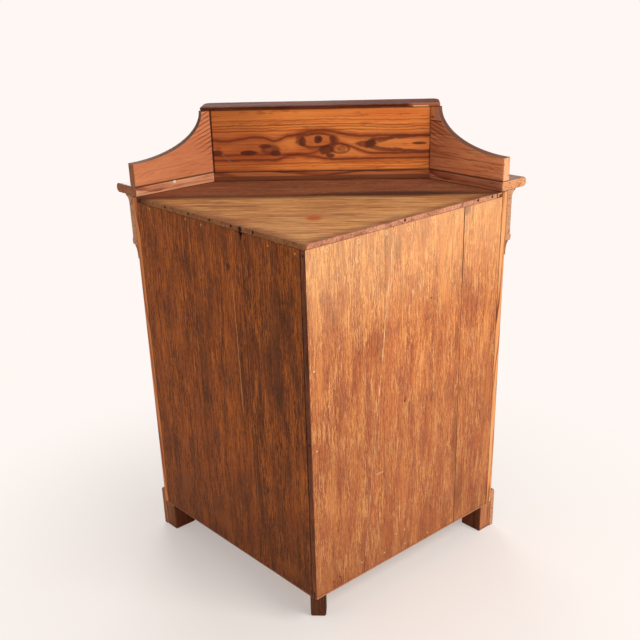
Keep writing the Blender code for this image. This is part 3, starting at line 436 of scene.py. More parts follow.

# Marks of use: height, distance from the corner, half the length and width, and how strong. The
# first list on each wall is dark stains, the second places where the finish is rubbed golden, and
# the third pale scratches. The last two golden places on the lit wall, high up, are no wear but a
# painted glow of light.
MARKS = {-1: (((0.487, 0.2846, 0.008, 0.0024, 0.9), (0.545, 0.1735, 0.014, 0.004, 0.5),
               (0.590, 0.458, 0.030, 0.004, 0.5), (0.300, 0.463, 0.110, 0.009, 0.5),
               (0.180, 0.485, 0.080, 0.016, 0.4), (0.840, 0.255, 0.020, 0.006, 0.4)),
              ((0.716, 0.411, 0.040, 0.012, 0.6), (0.810, 0.400, 0.040, 0.008, 0.5),
               (0.319, 0.049, 0.035, 0.012, 0.5), (0.600, 0.030, 0.050, 0.011, 0.5),
               (0.577, 0.569, 0.035, 0.013, 0.5), (0.420, 0.582, 0.070, 0.009, 0.5),
               (0.250, 0.585, 0.080, 0.009, 0.5), (0.120, 0.040, 0.030, 0.018, 0.4),
               # painted glow of light near the head of the lit wall
               (0.850, 0.565, 0.085, 0.040, 0.30), (0.860, 0.420, 0.060, 0.045, 0.2)),
              ((0.735, 0.306, 0.010, 0.0022, 0.5), (0.742, 0.330, 0.007, 0.0018, 0.5),
               (0.326, 0.204, 0.003, 0.009, 0.4), (0.190, 0.270, 0.022, 0.0013, 0.5),
               (0.150, 0.300, 0.014, 0.0013, 0.5))),
         1: (((0.636, 0.108, 0.120, 0.018, 0.5), (0.506, 0.379, 0.150, 0.016, 0.4),
              (0.300, 0.190, 0.120, 0.008, 0.4), (0.720, 0.330, 0.080, 0.010, 0.4)),
             ((0.130, 0.343, 0.025, 0.030, 0.6), (0.111, 0.092, 0.018, 0.040, 0.5),
              (0.372, 0.036, 0.070, 0.007, 0.5), (0.180, 0.500, 0.040, 0.020, 0.4)),
             ((0.640, 0.4645, 0.012, 0.0012, 0.5), (0.250, 0.300, 0.014, 0.0012, 0.4)))}
MARK_TONES = {-1: ((122, 70, 50), (230, 146, 84), (250, 206, 168)),
              1: ((58, 34, 20), (186, 100, 40), (196, 134, 88))}

# The heights from which two of the joints stand open, and the sawn edges inside every joint,
# whose tones are dark partly for weathering and partly as painted shade
OPEN = {(1, 1): 0.82, (-1, 1): 0.66}
DARK_TONES = ((150, 88, 52), (116, 62, 36), (86, 44, 26), (50, 26, 17))


def wall_places(hand, places, between=(0, WALL)):
    """Those of some marks on a wall that lie on one of its planks or beside it."""
    return [plan(hand, u, 0.0, z) for u, z in places if between[0] - 0.06 < u < between[1] + 0.11]


def plank_surface(seed, holes):
    """Depth of a sawn face: slow hollows, fine saw ripple, and a cone at each nail hole."""

    def dent(g, a):
        deep = 0.0004 * unevenness(seed, g, a, 0.16, 0.05) ** 2
        deep = deep + 0.0002 * unevenness(seed + 1, g, a, 0.018, 0.006)
        for u, z in holes:
            deep = deep + 0.0006 * np.exp(-((g - z) ** 2 + (a - u) ** 2) / 0.003 ** 2)
        return deep

    return dent


for hand, side in HANDS:
    inner = PLANK + 0.0014 if hand > 0 else 0.0004
    joints = [(inner, inner), *JOINTS[hand], (WALL - SIDE - SEAT,) * 2]
    for number in range(3):
        head = [joints[number][0], joints[number + 1][0]]
        foot = [joints[number][1], joints[number + 1][1]]
        slot_at = {(1, 0): 1, (1, 1): 0}.get((hand, number))
        opens = [OPEN.get((hand, number - 1), 0.9), OPEN.get((hand, number), 0.9)]

        def edges(t, head=head, foot=foot, slot_at=slot_at, opens=opens,
                  seed=hand * 7 + number + 20):
            """Straight lines from foot to head that the saw let wander by less than the gap, and
            that part by the full gap between the height where they open and the head."""
            z = FOOT + (PLANK_TOP - FOOT) * t
            pair = [foot[k] + (head[k] - foot[k]) * t
                    + (-1) ** k * (0.00012 + 0.0002 * unevenness(seed + k, z, z * 0, 0.06, 1.0)
                                   + PLANK_GAP * 0.4 * np.clip((z - opens[k]) / 0.08, 0, 1))
                    for k in (0, 1)]
            if slot_at is not None:
                bite = np.clip((z - 0.874) / 0.020, 0, 1) ** 1.6 * 0.0075
                pair[slot_at] = pair[slot_at] + bite * (-1 if slot_at else 1)
            return pair

        heart, slant = HEARTS[hand][number]
        wood = Finish('oak {} {}'.format(side, number + 1), plan(hand, 0), UP, away(hand),
                      0.0065)
        dark = {(1, 0): 0.87, (-1, 0): 0.95}.get((hand, number), 1.0)
        tones = [[level * dark for level in tone]
                 for tone in (OAK_SHADED if hand > 0 else OAK_LIT)]
        wood.figure(OAK, tones, heart, slant, shift=number * 1.7 + hand,
                    knots=KNOTS if number == 1 else (),
                    bold=2.4 if (hand, number) == (-1, 2) else 1.0)
        gold, fleck, shadow, sunny, russet = THREADS[hand]
        wood.threads(sunny, 0.45, 0.018, 0.20, 0.38, number + 71.0)
        wood.threads(russet, 0.30, 0.026, 0.20, 0.42, number + 75.0)
        wood.threads(shadow, 0.10, 0.030, 0.17, 0.45, number + 31.0)
        wood.threads(shadow, 0.030, 0.009, 0.13, 0.45, number + 41.0, clump=-0.8)
        wood.threads(gold, 0.060, 0.0030, 0.20, 0.70, number + 11.0, clump=0.8)
        wood.threads(gold, 0.018, 0.0018, 0.18, 0.65, number + 51.0, clump=0.6)
        wood.threads(fleck, 0.016, 0.0020, 0.13, 0.70, number + 21.0, 0.4, -0.8)
        wood.threads(fleck, 0.006, 0.0011, 0.13, 0.60, number + 61.0, 0.4, -0.7)
        wood.worn((70, 38, 22) if hand > 0 else (130, 72, 44), 0.0018, 0.5)
        for marks, tone, soft in zip(MARKS[hand], MARK_TONES[hand], (0.6, 0.8, 0.3)):
            mask = 0.0
            for z, u, long, wide, strength in marks:
                if joints[number][1] - 0.03 < u < joints[number + 1][0] + 0.03:
                    mark = wood.blot(z, u, long, wide, soft, 0.9) * strength
                    mask = wood.number('MAXIMUM', mask, mark)
            wood.stain(mask, tone)
        if hand < 0:
            ring = wood.nearest(wall_places(-1, FILLED, foot))
            wood.stain(wood.ease(ring, 0.0062, 0.0046, 0.65), (236, 176, 124), 0.3)
            wood.stain(wood.ease(ring, 0.0038, 0.0026, 0.7), (170, 94, 60), 0.2)
            bright = wood.nearest(wall_places(-1, BRIGHT, foot))
            wood.stain(wood.ease(bright, 0.0030, 0.0014, 0.85), (250, 222, 180))
            pits = wood.nearest(wall_places(-1, PITTED, foot))
            wood.stain(wood.ease(pits, 0.0036, 0.0016, 0.85), (60, 32, 20), 1.0)
            if number == 2:
                wood.stain(wood.blot(0.890, 0.479, 0.014, 0.009, 0.5, 0.8) * 0.75,
                           (104, 62, 60))
        else:
            dots = wood.nearest(wall_places(1, GOLDEN, foot))
            wood.stain(wood.ease(dots, 0.0036, 0.0018, 0.8), (222, 150, 84))
            if number == 1:
                off = wood.a - 0.234 - (wood.g - 0.476) * 0.0303
                thread = wood.ease(abs(off), 0.0020, 0.0010)
                run = wood.ease(wood.g, 0.44, 0.50) * wood.ease(wood.g, 0.79, 0.77)
                wood.stain(thread * run * 0.75, (206, 140, 84))
                wood.stain(wood.blot(0.810, 0.255, 0.007, 0.006, 0.5, 0.6) * 0.8,
                           (62, 34, 24), 0.5)
        if hand < 0:
            # A painted sheen of light, added to the colour towards the head of the lit wall
            painted_sheen = wood.ease(wood.g, 0.62, 0.90)
            wood.colour = wood.mix(wood.colour, (0.22, 0.17, 0.09), painted_sheen, 'ADD')
            # Painted shade that darkens the lit wall's lower half towards the foot
            painted_shade_low = wood.ease(wood.g, 0.62, 0.34, 0.20) + wood.ease(wood.g, 0.26, FOOT, 0.18)
            wood.stain(painted_shade_low, (122, 70, 46))
        else:
            wood.stain(wood.ease(wood.g, FOOT + 0.34, FOOT, 0.42), (70, 38, 22))
        rub = wood.ease(wood.g, FOOT + 0.0058, FOOT + 0.0042)
        wood.stain(rub * 0.6, (200, 136, 96) if hand < 0 else (150, 96, 60))
        line = wood.ease(wood.g, FOOT + 0.0072, FOOT + 0.0060) * (1 - rub)
        wood.stain(line * 0.6, (60, 32, 20))
        dents = plank_surface(number + hand * 3 + 40, FILLED + PITTED if hand < 0 else GOLDEN)
        columns = int((foot[1] - foot[0] + head[1] - head[0]) / 2 / 0.0035)
        rings = board(plan(hand, 0), UP, away(hand), -inwards(hand),
                      straight(FOOT, PLANK_TOP), edges, PLANK, 190, columns, 0.0006, dents)
        sawn = Finish('oak edge {} {}'.format(side, number + 1), plan(hand, 0), UP, away(hand))
        sawn.figure(OAK, DARK_TONES, heart, slant, number * 1.7)
        nails = sawn.nearest([plan(1, 0.007, 0.0, z) for z in (0.081, 0.089, 0.47, 0.882)])
        sawn.stain(sawn.ease(nails, 0.0042, 0.0024) * 0.9, (24, 14, 12), 1.0)
        skin('plank_{}_{}'.format(side, number + 1), rings, 'carcass', 'oak_back_' + side,
             [wood.close(0.0009, 0.7), sawn.close(0.0009, 0.7)], (0, 1, 1, 1), (1, 1),
             stands_for='back_plank_{}_{}'.format(side, number + 1))

# The leaning joint was stopped with putty, which still shows as a cream line. It is thinner
# towards the foot.
PUTTY_LOW, PUTTY_HIGH = 0.12, 0.89
putty = Finish('putty', plan(-1, 0), UP, away(-1))
crumb = putty.noise(0.05, 0.004, 4)
putty.colour = putty.mix(shade(250, 214, 168), shade(196, 132, 88), putty.ease(crumb, 0.40, 0.66))
putty.height = crumb
putty.roughness = putty.noise(0.01, 0.01) * 0.2 + 0.7


def putty_edges(t):
    """Both sides of the joint, by a millimetre or so that comes and goes."""
    z = PUTTY_LOW + (PUTTY_HIGH - PUTTY_LOW) * t
    head, foot = JOINTS[-1][0]
    joint = foot + (z - FOOT) * (head - foot) / (PLANK_TOP - FOOT)
    wide = 0.0004 + 0.0012 * unevenness(95, z, z * 0, 0.030, 1.0) * np.clip(z * 4 - 1.5, 0.3, 1)
    return joint - wide, joint + wide * 0.8


sunk = inwards(-1) * 0.00012
rings = board(plan(-1, 0) + sunk, UP, away(-1), -inwards(-1), straight(PUTTY_LOW, PUTTY_HIGH),
              putty_edges, 0.0012, 260, 5, 0.0002)
skin('joint_putty', rings, 'carcass', 'oak_back_left', [putty.close(0.0004, 0.6)])

# Top boards. Three rough oak boards lie side by side over the carcass, nailed down through their
# edges, flush with the walls. The one at the gallery's foot is darker and stained at its seam.
OAK_Z = 0.906
OAK_THICK = 0.0114
FRONT_DEPTH = 0.603162
TOP_OAK = dict(OAK, streaky=0.9, fibrous=0.8, patchy=0.8, late=0.06, rough=0.78,
               streak=(0.09, 0.0040))
TOP_TONES = ((230, 166, 104), (206, 137, 78), (174, 105, 57), (118, 64, 34))
SOILED_TONES = ((172, 106, 70), (138, 80, 52), (108, 58, 38), (64, 34, 24))
TOP_SHARES = (0.0, 0.350, 0.683, 1.0)
TOP_GAPS = (0.0035, 0.0003, 0.001)
TOP_ARRISES = (0.0004, 0.0004, 0.0010)
TOP_HEARTS = (((0.06, 0.09), (0.04, 0.02)), ((0.30, 0.09), (-0.02, 0.02)),
              ((0.66, 0.09), (0.03, 0.02)))
TOP_DEEP = 2 * (WALL - SIDE - SEAT) * SQUARE
SEAM = ((0.40, 0.50), (0.375, 0.418), (0.450, 0.405))
STRIP_NAILS = ((0.590, 0.901), (0.482, 0.901), (0.389, 0.901), (0.310, 0.901), (0.2345, 0.901),
               (0.160, 0.901))
LEFT_NAILS = ((0.278, 0.901), (0.515, 0.901), (0.564, 0.901))
BORE = (0.2037, 0.001, 0.9)


def top_ends(a, d):
    """Half the board's width at a depth: the walls' lines, then the returns' inner faces."""
    half = np.minimum(a, TOP_DEEP - a)
    return -half, half


for number in range(3):
    near = FRONT_DEPTH * TOP_SHARES[number] + TOP_GAPS[number]
    far = FRONT_DEPTH * TOP_SHARES[number + 1]
    wood = Finish('oak top {}'.format(number + 1), (0, REAR_Y, 0), (1, 0, 0), (0, -1, 0))
    wood.figure(TOP_OAK, SOILED_TONES if number == 2 else TOP_TONES, *TOP_HEARTS[number],
                shift=5.0 + number * 2.3)
    wood.threads((222, 172, 118), 0.12, 0.0024, 0.17, 0.5 if number < 2 else 0.15, 12.0)
    wood.threads((132, 78, 44), 0.05, 0.0020, 0.15, 0.55, 22.0, 0.3)
    wood.threads((140, 80, 46), 0.16, 0.026, 0.18, 0.55, 32.0)
    if number < 2:
        wood.threads((240, 194, 132), 0.09, 0.007, 0.20, 0.36, 52.0)
    else:
        wood.threads((206, 158, 122), 0.014, 0.004, 0.11, 0.45, 53.0)
        wood.threads((150, 82, 48), 0.12, 0.010, 0.20, 0.50, 54.0)
    rim = wood.a - abs(wood.g) + (wood.noise(0.05, 0.03, 3, 6.0) - 0.5) * 0.05
    wood.stain(wood.ease(rim, 0.050, 0.004, 0.60), (112, 60, 36))
    wood.stain(wood.blot(-0.180, 0.428, 0.160, 0.022, 0.6, 0.9) * 0.80, (48, 25, 16))
    sawn = Finish('oak top edge {}'.format(number + 1), (0, REAR_Y, 0), (0, -1, 0), UP)
    sawn.figure(TOP_OAK, ((240, 178, 144), (214, 148, 116), (176, 108, 82), (112, 64, 48)),
                (0.90, -0.05), (0.02, 0.03), number * 2.0)
    sawn.threads((128, 76, 66), 0.03, 0.010, 0.16, 0.6, 4.0)
    sawn.worn((150, 86, 60), 0.002, 0.5)
    for made, nails in ((wood, wall_places(1, STRIP_NAILS)), (sawn, wall_places(-1, LEFT_NAILS))):
        holes = made.nearest(nails)
        made.stain(made.ease(holes, 0.0042, 0.0022) * 0.95, (24, 12, 8), 1.0)
    bore = wood.nearest([plan(1, *BORE)])
    wood.stain(wood.ease(bore, 0.0068, 0.0050) * 0.95, (20, 10, 7), 1.0)
    seam = wood.ease(wood.a + (wood.noise(0.15, 0.05, 3, 4.0) - 0.5) * 0.03, *SEAM[number])
    wood.stain(seam * 0.80, (70, 38, 26))
    if number < 2:
        wood.stain(wood.blot(-0.005, 0.208, 0.017, 0.020, 0.5, 0.5) * 0.85, (190, 80, 40))
    rings = board(np.array((0, REAR_Y, OAK_Z - SEAT)), RIGHTWARDS, -REARWARDS, UP, top_ends,
                  straight(near, far), OAK_THICK, 130, int((far - near) / 0.003),
                  TOP_ARRISES[number], plank_surface(60 + number, ()))
    skin('top_{}'.format(number + 1), rings, 'carcass', 'oak_top',
         [wood.close(0.0010, 0.8), sawn.close(0.0010, 0.8)], ends=(1, 0),
         stands_for='top_board_{}'.format(number + 1))

# Return boards and front stiles. A pine board stands on each canted side, veneered with mahogany
# outside, and is mitred to the front stile. Its bare rear edge shows as a strip beside the planks.
RETURN = 0.233
STILE = 0.022
RETURN_FACE_IN = (FRONT_DEPTH - STILE) / SQUARE - (WALL - SIDE)
PINE = {'ring': 0.0085, 'early': 0.50, 'late': 0.75, 'drift': (0.40, 0.09), 'bend': 0.030,
        'ripple': (0.05, 0.012), 'shake': 0.0016, 'streak': (0.10, 0.004), 'streaky': 0.40,
        'fibre': (0.018, 0.0010), 'fibrous': 0.30, 'patch': (0.25, 0.06), 'patchy': 0.45,
        'pore': (0.010, 0.0006), 'porous': 0.06, 'rough': 0.58}
MAHOGANY = {'ring': 0.011, 'early': 0.30, 'late': 0.18, 'drift': (0.35, 0.07), 'bend': 0.040,
            'ripple': (0.05, 0.010), 'shake': 0.003, 'streak': (0.07, 0.0022), 'streaky': 0.70,
            'fibre': (0.012, 0.0008), 'fibrous': 0.35, 'patch': (0.22, 0.05), 'patchy': 0.70,
            'pore': (0.006, 0.0004), 'porous': 0.22, 'rough': 0.36}
MAHOGANY_TONES = ((142, 74, 44), (112, 50, 28), (84, 34, 20), (48, 20, 14))
POLISHED = (0.0003, 0.4, 0.35)
# Both return edges are one pine: the shaded side's tones are darker and the lit side's paler, as
# painted shade and painted light.
EDGE_TONES = {1: ((232, 150, 88), (206, 116, 60), (172, 86, 40), (110, 54, 26)),
              -1: ((250, 184, 122), (228, 148, 92), (190, 108, 60), (116, 60, 34))}


def pine(name, origin, grain, across, heart, slant, shift, tones):
    """Pine whose late wood comes and goes along the board."""
    wood = Finish(name, origin, grain, across)
    bold = wood.ease(wood.noise(0.12, 0.03, 2, 14.0 + shift), 0.30, 0.65) * 0.8 + 0.15
    return wood.figure(PINE, tones, heart, slant, shift, (), bold)


def mahogany(name, origin, grain, across, heart, slant=(0.02, 0.03), shift=0.0,
             tones=MAHOGANY_TONES):
    """Mahogany veneer or solid: open pores and dark streaks under the polish."""
    return Finish(name, origin, grain, across).figure(MAHOGANY, tones, heart, slant, shift)


for hand, side in HANDS:
    origin = plan(hand, WALL)
    veneer = mahogany('return veneer ' + side, origin, UP, inwards(hand), (0.12, -0.10),
                      shift=hand)
    veneer.worn((150, 92, 60), 0.003, 0.6)
    edge = pine('return edge ' + side, origin, UP, away(hand), (-0.03, -0.05), (0.01, 0.03),
                hand + 4, EDGE_TONES[hand])
    edge.worn((84, 46, 26), 0.0025, 0.7)
    rings = board(origin, UP, inwards(hand), away(hand), straight(FOOT, OAK_Z - SEAT),
                  straight(0, RETURN - SEAT), SIDE, 160, 46, 0.0009,
                  splay=(0, (RETURN - RETURN_FACE_IN) / SIDE))
    skin('return_' + side, rings, 'carcass', 'pine_carcass',
         [veneer.close(*POLISHED), edge.close(0.0007, 0.6)], (0, 1, 1, 1), (1, 1),
         stands_for='return_board_' + side)


def dress(material, *names):
    """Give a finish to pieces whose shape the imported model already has."""
    for name in names:
        for place in nodes[name].material_slots:
            place.material = material


for hand, side in HANDS:
    stile = mahogany('front stile ' + side, plan(hand, WALL, RETURN), UP, (1, 0, 0),
                     (0.02, -0.09), shift=2.0 * hand)
    dress(stile.close(*POLISHED), 'front_stile_' + side)

# Inside. The bottom, the corner post, the shelf on its battens and the drawer's runners are
# planed pine that was never polished.
for number, (name, grain, across) in enumerate((
        ('bottom_board', (1, 0, 0), (0, 1, 0)), ('corner_post', (0, 0, 1), (1, 0, 0)),
        ('shelf', (1, 0, 0), (0, 1, 0)), ('drawer_runner_right', (0, 1, 0), (1, 0, 0)),
        ('drawer_runner_left', (0, 1, 0), (1, 0, 0)),
        ('shelf_batten_right', away(1), (0, 0, 1)), ('shelf_batten_left', away(-1), (0, 0, 1)))):
    wood = pine('pine ' + name.replace('_', ' '), (0, 0, 0), grain, across,
                (0.02 + number * 0.03, 0.35), (0.02, 0.04), number * 1.3,
                ((228, 178, 124), (206, 150, 96), (176, 118, 70), (120, 76, 44)))
    dress(wood.close(0.0006, 0.6), name)

# Feet. A squared block stands under each return, nailed inside the plinth, and one across the
# rear corner. They are old pine and oak, dirty, with worn arrises. The block on the shaded side is
# given darker tones, and the blocks' inner faces a darker finish, as painted shade.
FOOT_BLOCK = 0.042
FOOT_DEPTH = 0.062
REAR_FOOT = 0.036
REAR_FOOT_RISE = 0.0937
REAR_FOOT_Y = 0.296858
FOOT_WOOD = dict(PINE, late=0.12, streaky=0.7, fibrous=0.5, patchy=0.9, rough=0.8)
# The block on the shaded side has darker tones as painted shade.
FOOT_TONES = {1: ((186, 122, 80), (146, 90, 56), (112, 66, 40), (64, 36, 22)),
              -1: ((226, 156, 110), (196, 124, 82), (150, 90, 56), (84, 46, 28))}
for hand, side in HANDS:
    wood = Finish('foot ' + side, plan(hand, WALL), UP, away(hand))
    wood.figure(FOOT_WOOD, FOOT_TONES[hand], (0.03, -0.05), (0.01, 0.03), hand)
    wood.threads((206, 160, 124), 0.020, 0.0030, 0.10, 0.5, 4.0)
    wood.worn((206, 150, 104), 0.004, 0.5)
    wood.stain(wood.ease(wood.g, 0.014, 0.0) * 0.5, (70, 42, 26))
    rings = board(plan(hand, 0), UP, away(hand), -inwards(hand), straight(0, FOOT - SEAT),
                  straight(WALL - FOOT_BLOCK, WALL), FOOT_DEPTH, 16, 14, 0.003,
                  plank_surface(70 + hand, ()))
    # The inner faces get dark tones of their own: painted shade.
    inner = Finish('foot inside painted shade ' + side, plan(hand, WALL), UP, inwards(hand))
    inner.figure(FOOT_WOOD, ((150, 86, 54), (118, 64, 38), (88, 46, 28), (48, 26, 17)),
                 (0.05, -0.05), (0.01, 0.03), hand + 4.0)
    skin('foot_' + side, rings, 'carcass', 'oak_foot',
         [wood.close(0.0012, 0.8), inner.close(0.0012, 0.8)], (0, 1, 1, 1), (1, 1),
         stands_for='foot_block_' + side)
wood = Finish('foot rear', (0, REAR_FOOT_Y, 0), UP, (1, 0, 0))
wood.figure(OAK, ((124, 72, 42), (98, 53, 31), (74, 39, 23), (44, 23, 15)), (0.03, -0.05),
            (0.02, 0.03))
wood.worn((62, 36, 24), 0.003, 0.5)
rings = board(np.array((0, REAR_FOOT_Y, 0)), UP, RIGHTWARDS, REARWARDS,
              straight(0, REAR_FOOT_RISE), straight(-REAR_FOOT / 2, REAR_FOOT / 2), REAR_FOOT, 20,
              12, 0.0036, plank_surface(75, ()))
skin('foot_rear', rings, 'carcass', 'oak_foot', [wood.close(0.0012, 0.8)],
     stands_for='rear_foot')

# Mouldings: plinth, neck, frieze, cove and moulded top run round both returns and the front, in
# lengths mitred at the corners. They are pine faced with mahogany, sawn off at the walls, where
# the bare end grain shows.
MITRE = math.tan(math.radians(22.5))
FRONT_HALF = 0.273650
FRONT_Y = REAR_Y - FRONT_DEPTH


def arc(centre, radius_x, radius_z, start, stop, steps):
    """Points on an ellipse between two angles in degrees, both ends included."""
    angle = np.radians(np.linspace(start, stop, steps))
    return [(centre[0] + radius_x * math.cos(turn), centre[1] + radius_z * math.sin(turn))
            for turn in angle]


def eased(profile, radius, step=0.004):
    """A closed profile with its sharp corners rounded and its long flats divided.

    A corner that turns more than 25 degrees is replaced by three points of a parabola.
    """
    made = []
    profile = np.asarray(profile, float)
    for number, here in enumerate(profile):
        before = profile[number - 1] - here
        after = profile[(number + 1) % len(profile)] - here
        size = np.hypot(*before), np.hypot(*after)
        turn = 180 - math.degrees(math.acos(np.clip(before @ after / size[0] / size[1], -1, 1)))
        if turn > 25:
            cut = min(radius, size[0] * 0.4, size[1] * 0.4)
            one, two = here + before / size[0] * cut, here + after / size[1] * cut
            made += [(*one, 1), (*((one + two + here * 2) / 4), 1), (*two, 1)]
        else:
            made.append((*here, 0))
    full = []
    for number, here in enumerate(made):
        there = made[(number + 1) % len(made)]
        pieces = max(int(math.dist(here[:2], there[:2]) / step), 1)
        for share in range(pieces):
            portion = share / pieces
            full.append((here[0] + (there[0] - here[0]) * portion,
                         here[1] + (there[1] - here[1]) * portion,
                         here[2] if share == 0 else 0))
    return np.array(full)


def moulding(profile, origin, way, length, mitres, rows, bare, arris=0.0006):
    """A profile, drawn out from the run and up, carried along its way. Each end is cut to its
    mitre, which moves it by the distance out from the run times the mitre's slope. What lies
    no further out than bare is the side without veneer."""
    shape = eased(profile, arris)
    x, z, sharp = shape.T
    out = np.cross(UP, way)
    t = np.concatenate(((0, 0), np.linspace(0, 1, rows), (1, 1)))[:, None]
    inner = t[2:-2] * 2
    step = arris * np.concatenate(((0, 0.29), 1 - inner[:, 0], (-0.29, 0)))[:, None]
    inset = arris * np.concatenate(((1, 0.29), inner[:, 0] * 0, (0.29, 1)))[:, None]
    half = (x.max() - x.min()) / 2, (z.max() - z.min()) / 2
    middle = x.min() + half[0], z.min() + half[1]
    wide = middle[0] + (x - middle[0]) * (1 - inset / half[0])
    high = middle[1] + (z - middle[1]) * (1 - inset / half[1])
    start, stop = -wide * mitres[0], length + wide * mitres[1]
    g = start + (stop - start) * t + step
    corners = shape[sharp > 0][:, :2]
    rim = np.hypot(x[:, None] - corners[:, 0], z[:, None] - corners[:, 1]).min(axis=1)
    rim = np.minimum(rim + t * 0, np.minimum(g - start, stop - g))
    points = origin + g[..., None] * way + wide[..., None] * out + high[..., None] * UP
    sides = ((x + np.roll(x, -1)) / 2 < bare).astype(int)
    return points, np.maximum(rim, 0), np.tile(sides, (rows + 3, 1))


def runs(short=0.00015):
    """Start, direction, length and mitres of the right return, the front and the left return."""
    return {'right': (plan(1, WALL), inwards(1), RETURN - short, (0, MITRE)),
            'front': (plan(1, WALL, RETURN) - RIGHTWARDS * short, -RIGHTWARDS,
                      (FRONT_HALF - short) * 2, (MITRE, MITRE)),
            'left': (plan(-1, WALL, RETURN) - inwards(-1) * short, -inwards(-1),
                     RETURN - short, (MITRE, 0))}


def end_grain(name, origin, way, tones):
    """The sawn end of a pine length: its growth rings end-on, with dirt in soft patches."""
    wood = Finish(name, origin, way, UP)
    wood.figure(dict(PINE, streak=(0.004, 0.004), fibre=(0.001, 0.001), patch=(0.02, 0.02),
                     drift=(0.05, 0.05), bend=0.006, ring=0.0035, late=0.4, rough=0.8),
                tones, (-0.02, 0.03))
    return wood.threads((110, 62, 42), 0.009, 0.009, 0.14, 0.6, 3.0)


SOILED = ((204, 138, 102), (168, 106, 75), (126, 76, 52), (72, 40, 29))
SOILED_ENDS = (('plinth', 'right'), ('moulded_top', 'right'), ('neck', 'right'),
               ('neck', 'left'))
FLECK = {'right': (0.1082, 0.9245), 'front': (0.10, 0.9), 'left': (0.05, 0.9)}
CORE_TONES = {'right': ((248, 188, 146), (228, 154, 114), (184, 110, 78), (110, 56, 36)),
              'front': ((210, 128, 78), (180, 98, 56), (144, 72, 40), (96, 44, 28)),
              'left': ((222, 152, 112), (194, 118, 82), (152, 82, 54), (96, 46, 32))}


def mouldings(stem, profile, places, bare=0.0006,
              sawn=((232, 178, 140), (210, 154, 116), (180, 122, 86), (120, 74, 50))):
    """Run a profile round the cabinet at some of its three places, each with its own pieces of
    wood: the veneered face, the bare pine behind it, and sawn ends at the walls."""
    for side in places:
        origin, way, length, mitres = runs()[side]
        body = 'carcass'
        node = stem + '_' + side
        if (stem, side) == ('drawer', 'front'):
            body, node = 'drawer', 'drawer_facing'
            origin, way, length, mitres = runs(0.001)[side]
        wood = mahogany(stem + ' ' + side, origin, way, UP, (0.86, -0.06), (0.01, 0.02),
                        len(stem) + length * 3)
        wood.worn((150, 96, 64), 0.0028, 0.75)
        end = end_grain(stem + ' end ' + side, origin, way,
                        SOILED if (stem, side) in SOILED_ENDS else sawn)
        core = pine(stem + ' core ' + side, origin, way, UP, (0.93, -0.03), (0.02, 0.03),
                    length, CORE_TONES[side])
        if stem == 'moulded_top':
            if side == 'front':
                core.stain(core.ease(core.a, 0.9190, 0.9160) * 0.8, (104, 58, 38))
            else:
                core.threads((120, 62, 44), 0.08, 0.0020, 0.16, 0.6, 8.0)
            core.stain(core.ease(core.a, 0.9258, 0.9276) * 0.75, (56, 30, 20))
            core.stain(core.blot(*FLECK[side], 0.0035, 0.0034, 0.4) * 0.95, (250, 240, 226))
        rings = moulding(profile, origin, way, length, mitres, int(length / 0.006), bare)
        ends = {'right': (2, 0), 'front': (0, 0), 'left': (0, 2)}[side]
        skin(stem + '_run_' + side, rings, body, 'mahogany',
             [wood.close(0.0003, 0.4, 0.2, 0.2), core.close(0.0008, 0.6),
              end.close(0.0006, 0.6)], (0, 1), ends, node)


BACK = 0.0003
mouldings('plinth', [(BACK, 0), (0.014, 0), (0.014, 0.106), (0.009, 0.111), (BACK, 0.111)],
          ('right', 'front', 'left'))
mouldings('neck', [(BACK, 0.753)] + arc((0.011, 0.753), 0.0085, 0.030, 180, 90, 12)
          + [(0.011, 0.7857), (BACK, 0.7857)], ('right', 'front', 'left'))
bead = arc((0.017, 0.794), 0.004, 0.008, -90, 90, 12)
mouldings('frieze', [(BACK, 0.786)] + bead + [(0.017, 0.8857), (BACK, 0.8857)],
          ('right', 'left'))
bead = arc((0.017, 0.795), 0.004, 0.008, -90, 90, 12)
mouldings('drawer', [(BACK, 0.787)] + bead + [(0.017, 0.8847), (BACK, 0.8847)], ('front',))
mouldings('cove', [(BACK, 0.886)] + arc((0.029, 0.886), 0.012, 0.017, 180, 90, 12)
          + [(0.029, 0.906), (BACK, 0.906)], ('right', 'front', 'left'))
SHOW_Z = 0.928
nose = arc((0.057, 0.918), 0.010, 0.010, 0, 90, 10)
mouldings('moulded_top', [(-0.020, 0.9063), (0.061, 0.9063), (0.067, 0.9123)] + nose
          + [(-0.020, SHOW_Z)], ('right', 'front', 'left'), bare=-0.0195,
          sawn=((250, 190, 140), (226, 156, 108), (186, 118, 76), (116, 66, 44)))

# Gallery. Old knotty pine shows behind; the front, the upper edges and the ends are veneered
# with mahogany. The wings sweep down in a hollow to the walls, mitred to the centre board.
GALLERY = 0.023
GALLERY_IN = 0.020
GALLERY_SHORT = 0.0083
GALLERY_LOW = SHOW_Z + SEAT
GALLERY_TOP = 1.0757
OLD_PINE = dict(PINE, ring=0.0085, late=0.80, early=0.50, streaky=0.60, patchy=0.8, bend=0.016,
                streak=(0.22, 0.0070), fibrous=0.35, shake=0.0022)
GALLERY_TONES = ((255, 156, 76), (232, 122, 57), (178, 84, 40), (100, 44, 25))
origin, way, length, mitres = runs()['front']
rear_origin = np.array((0, FRONT_Y + GALLERY_IN, 0))

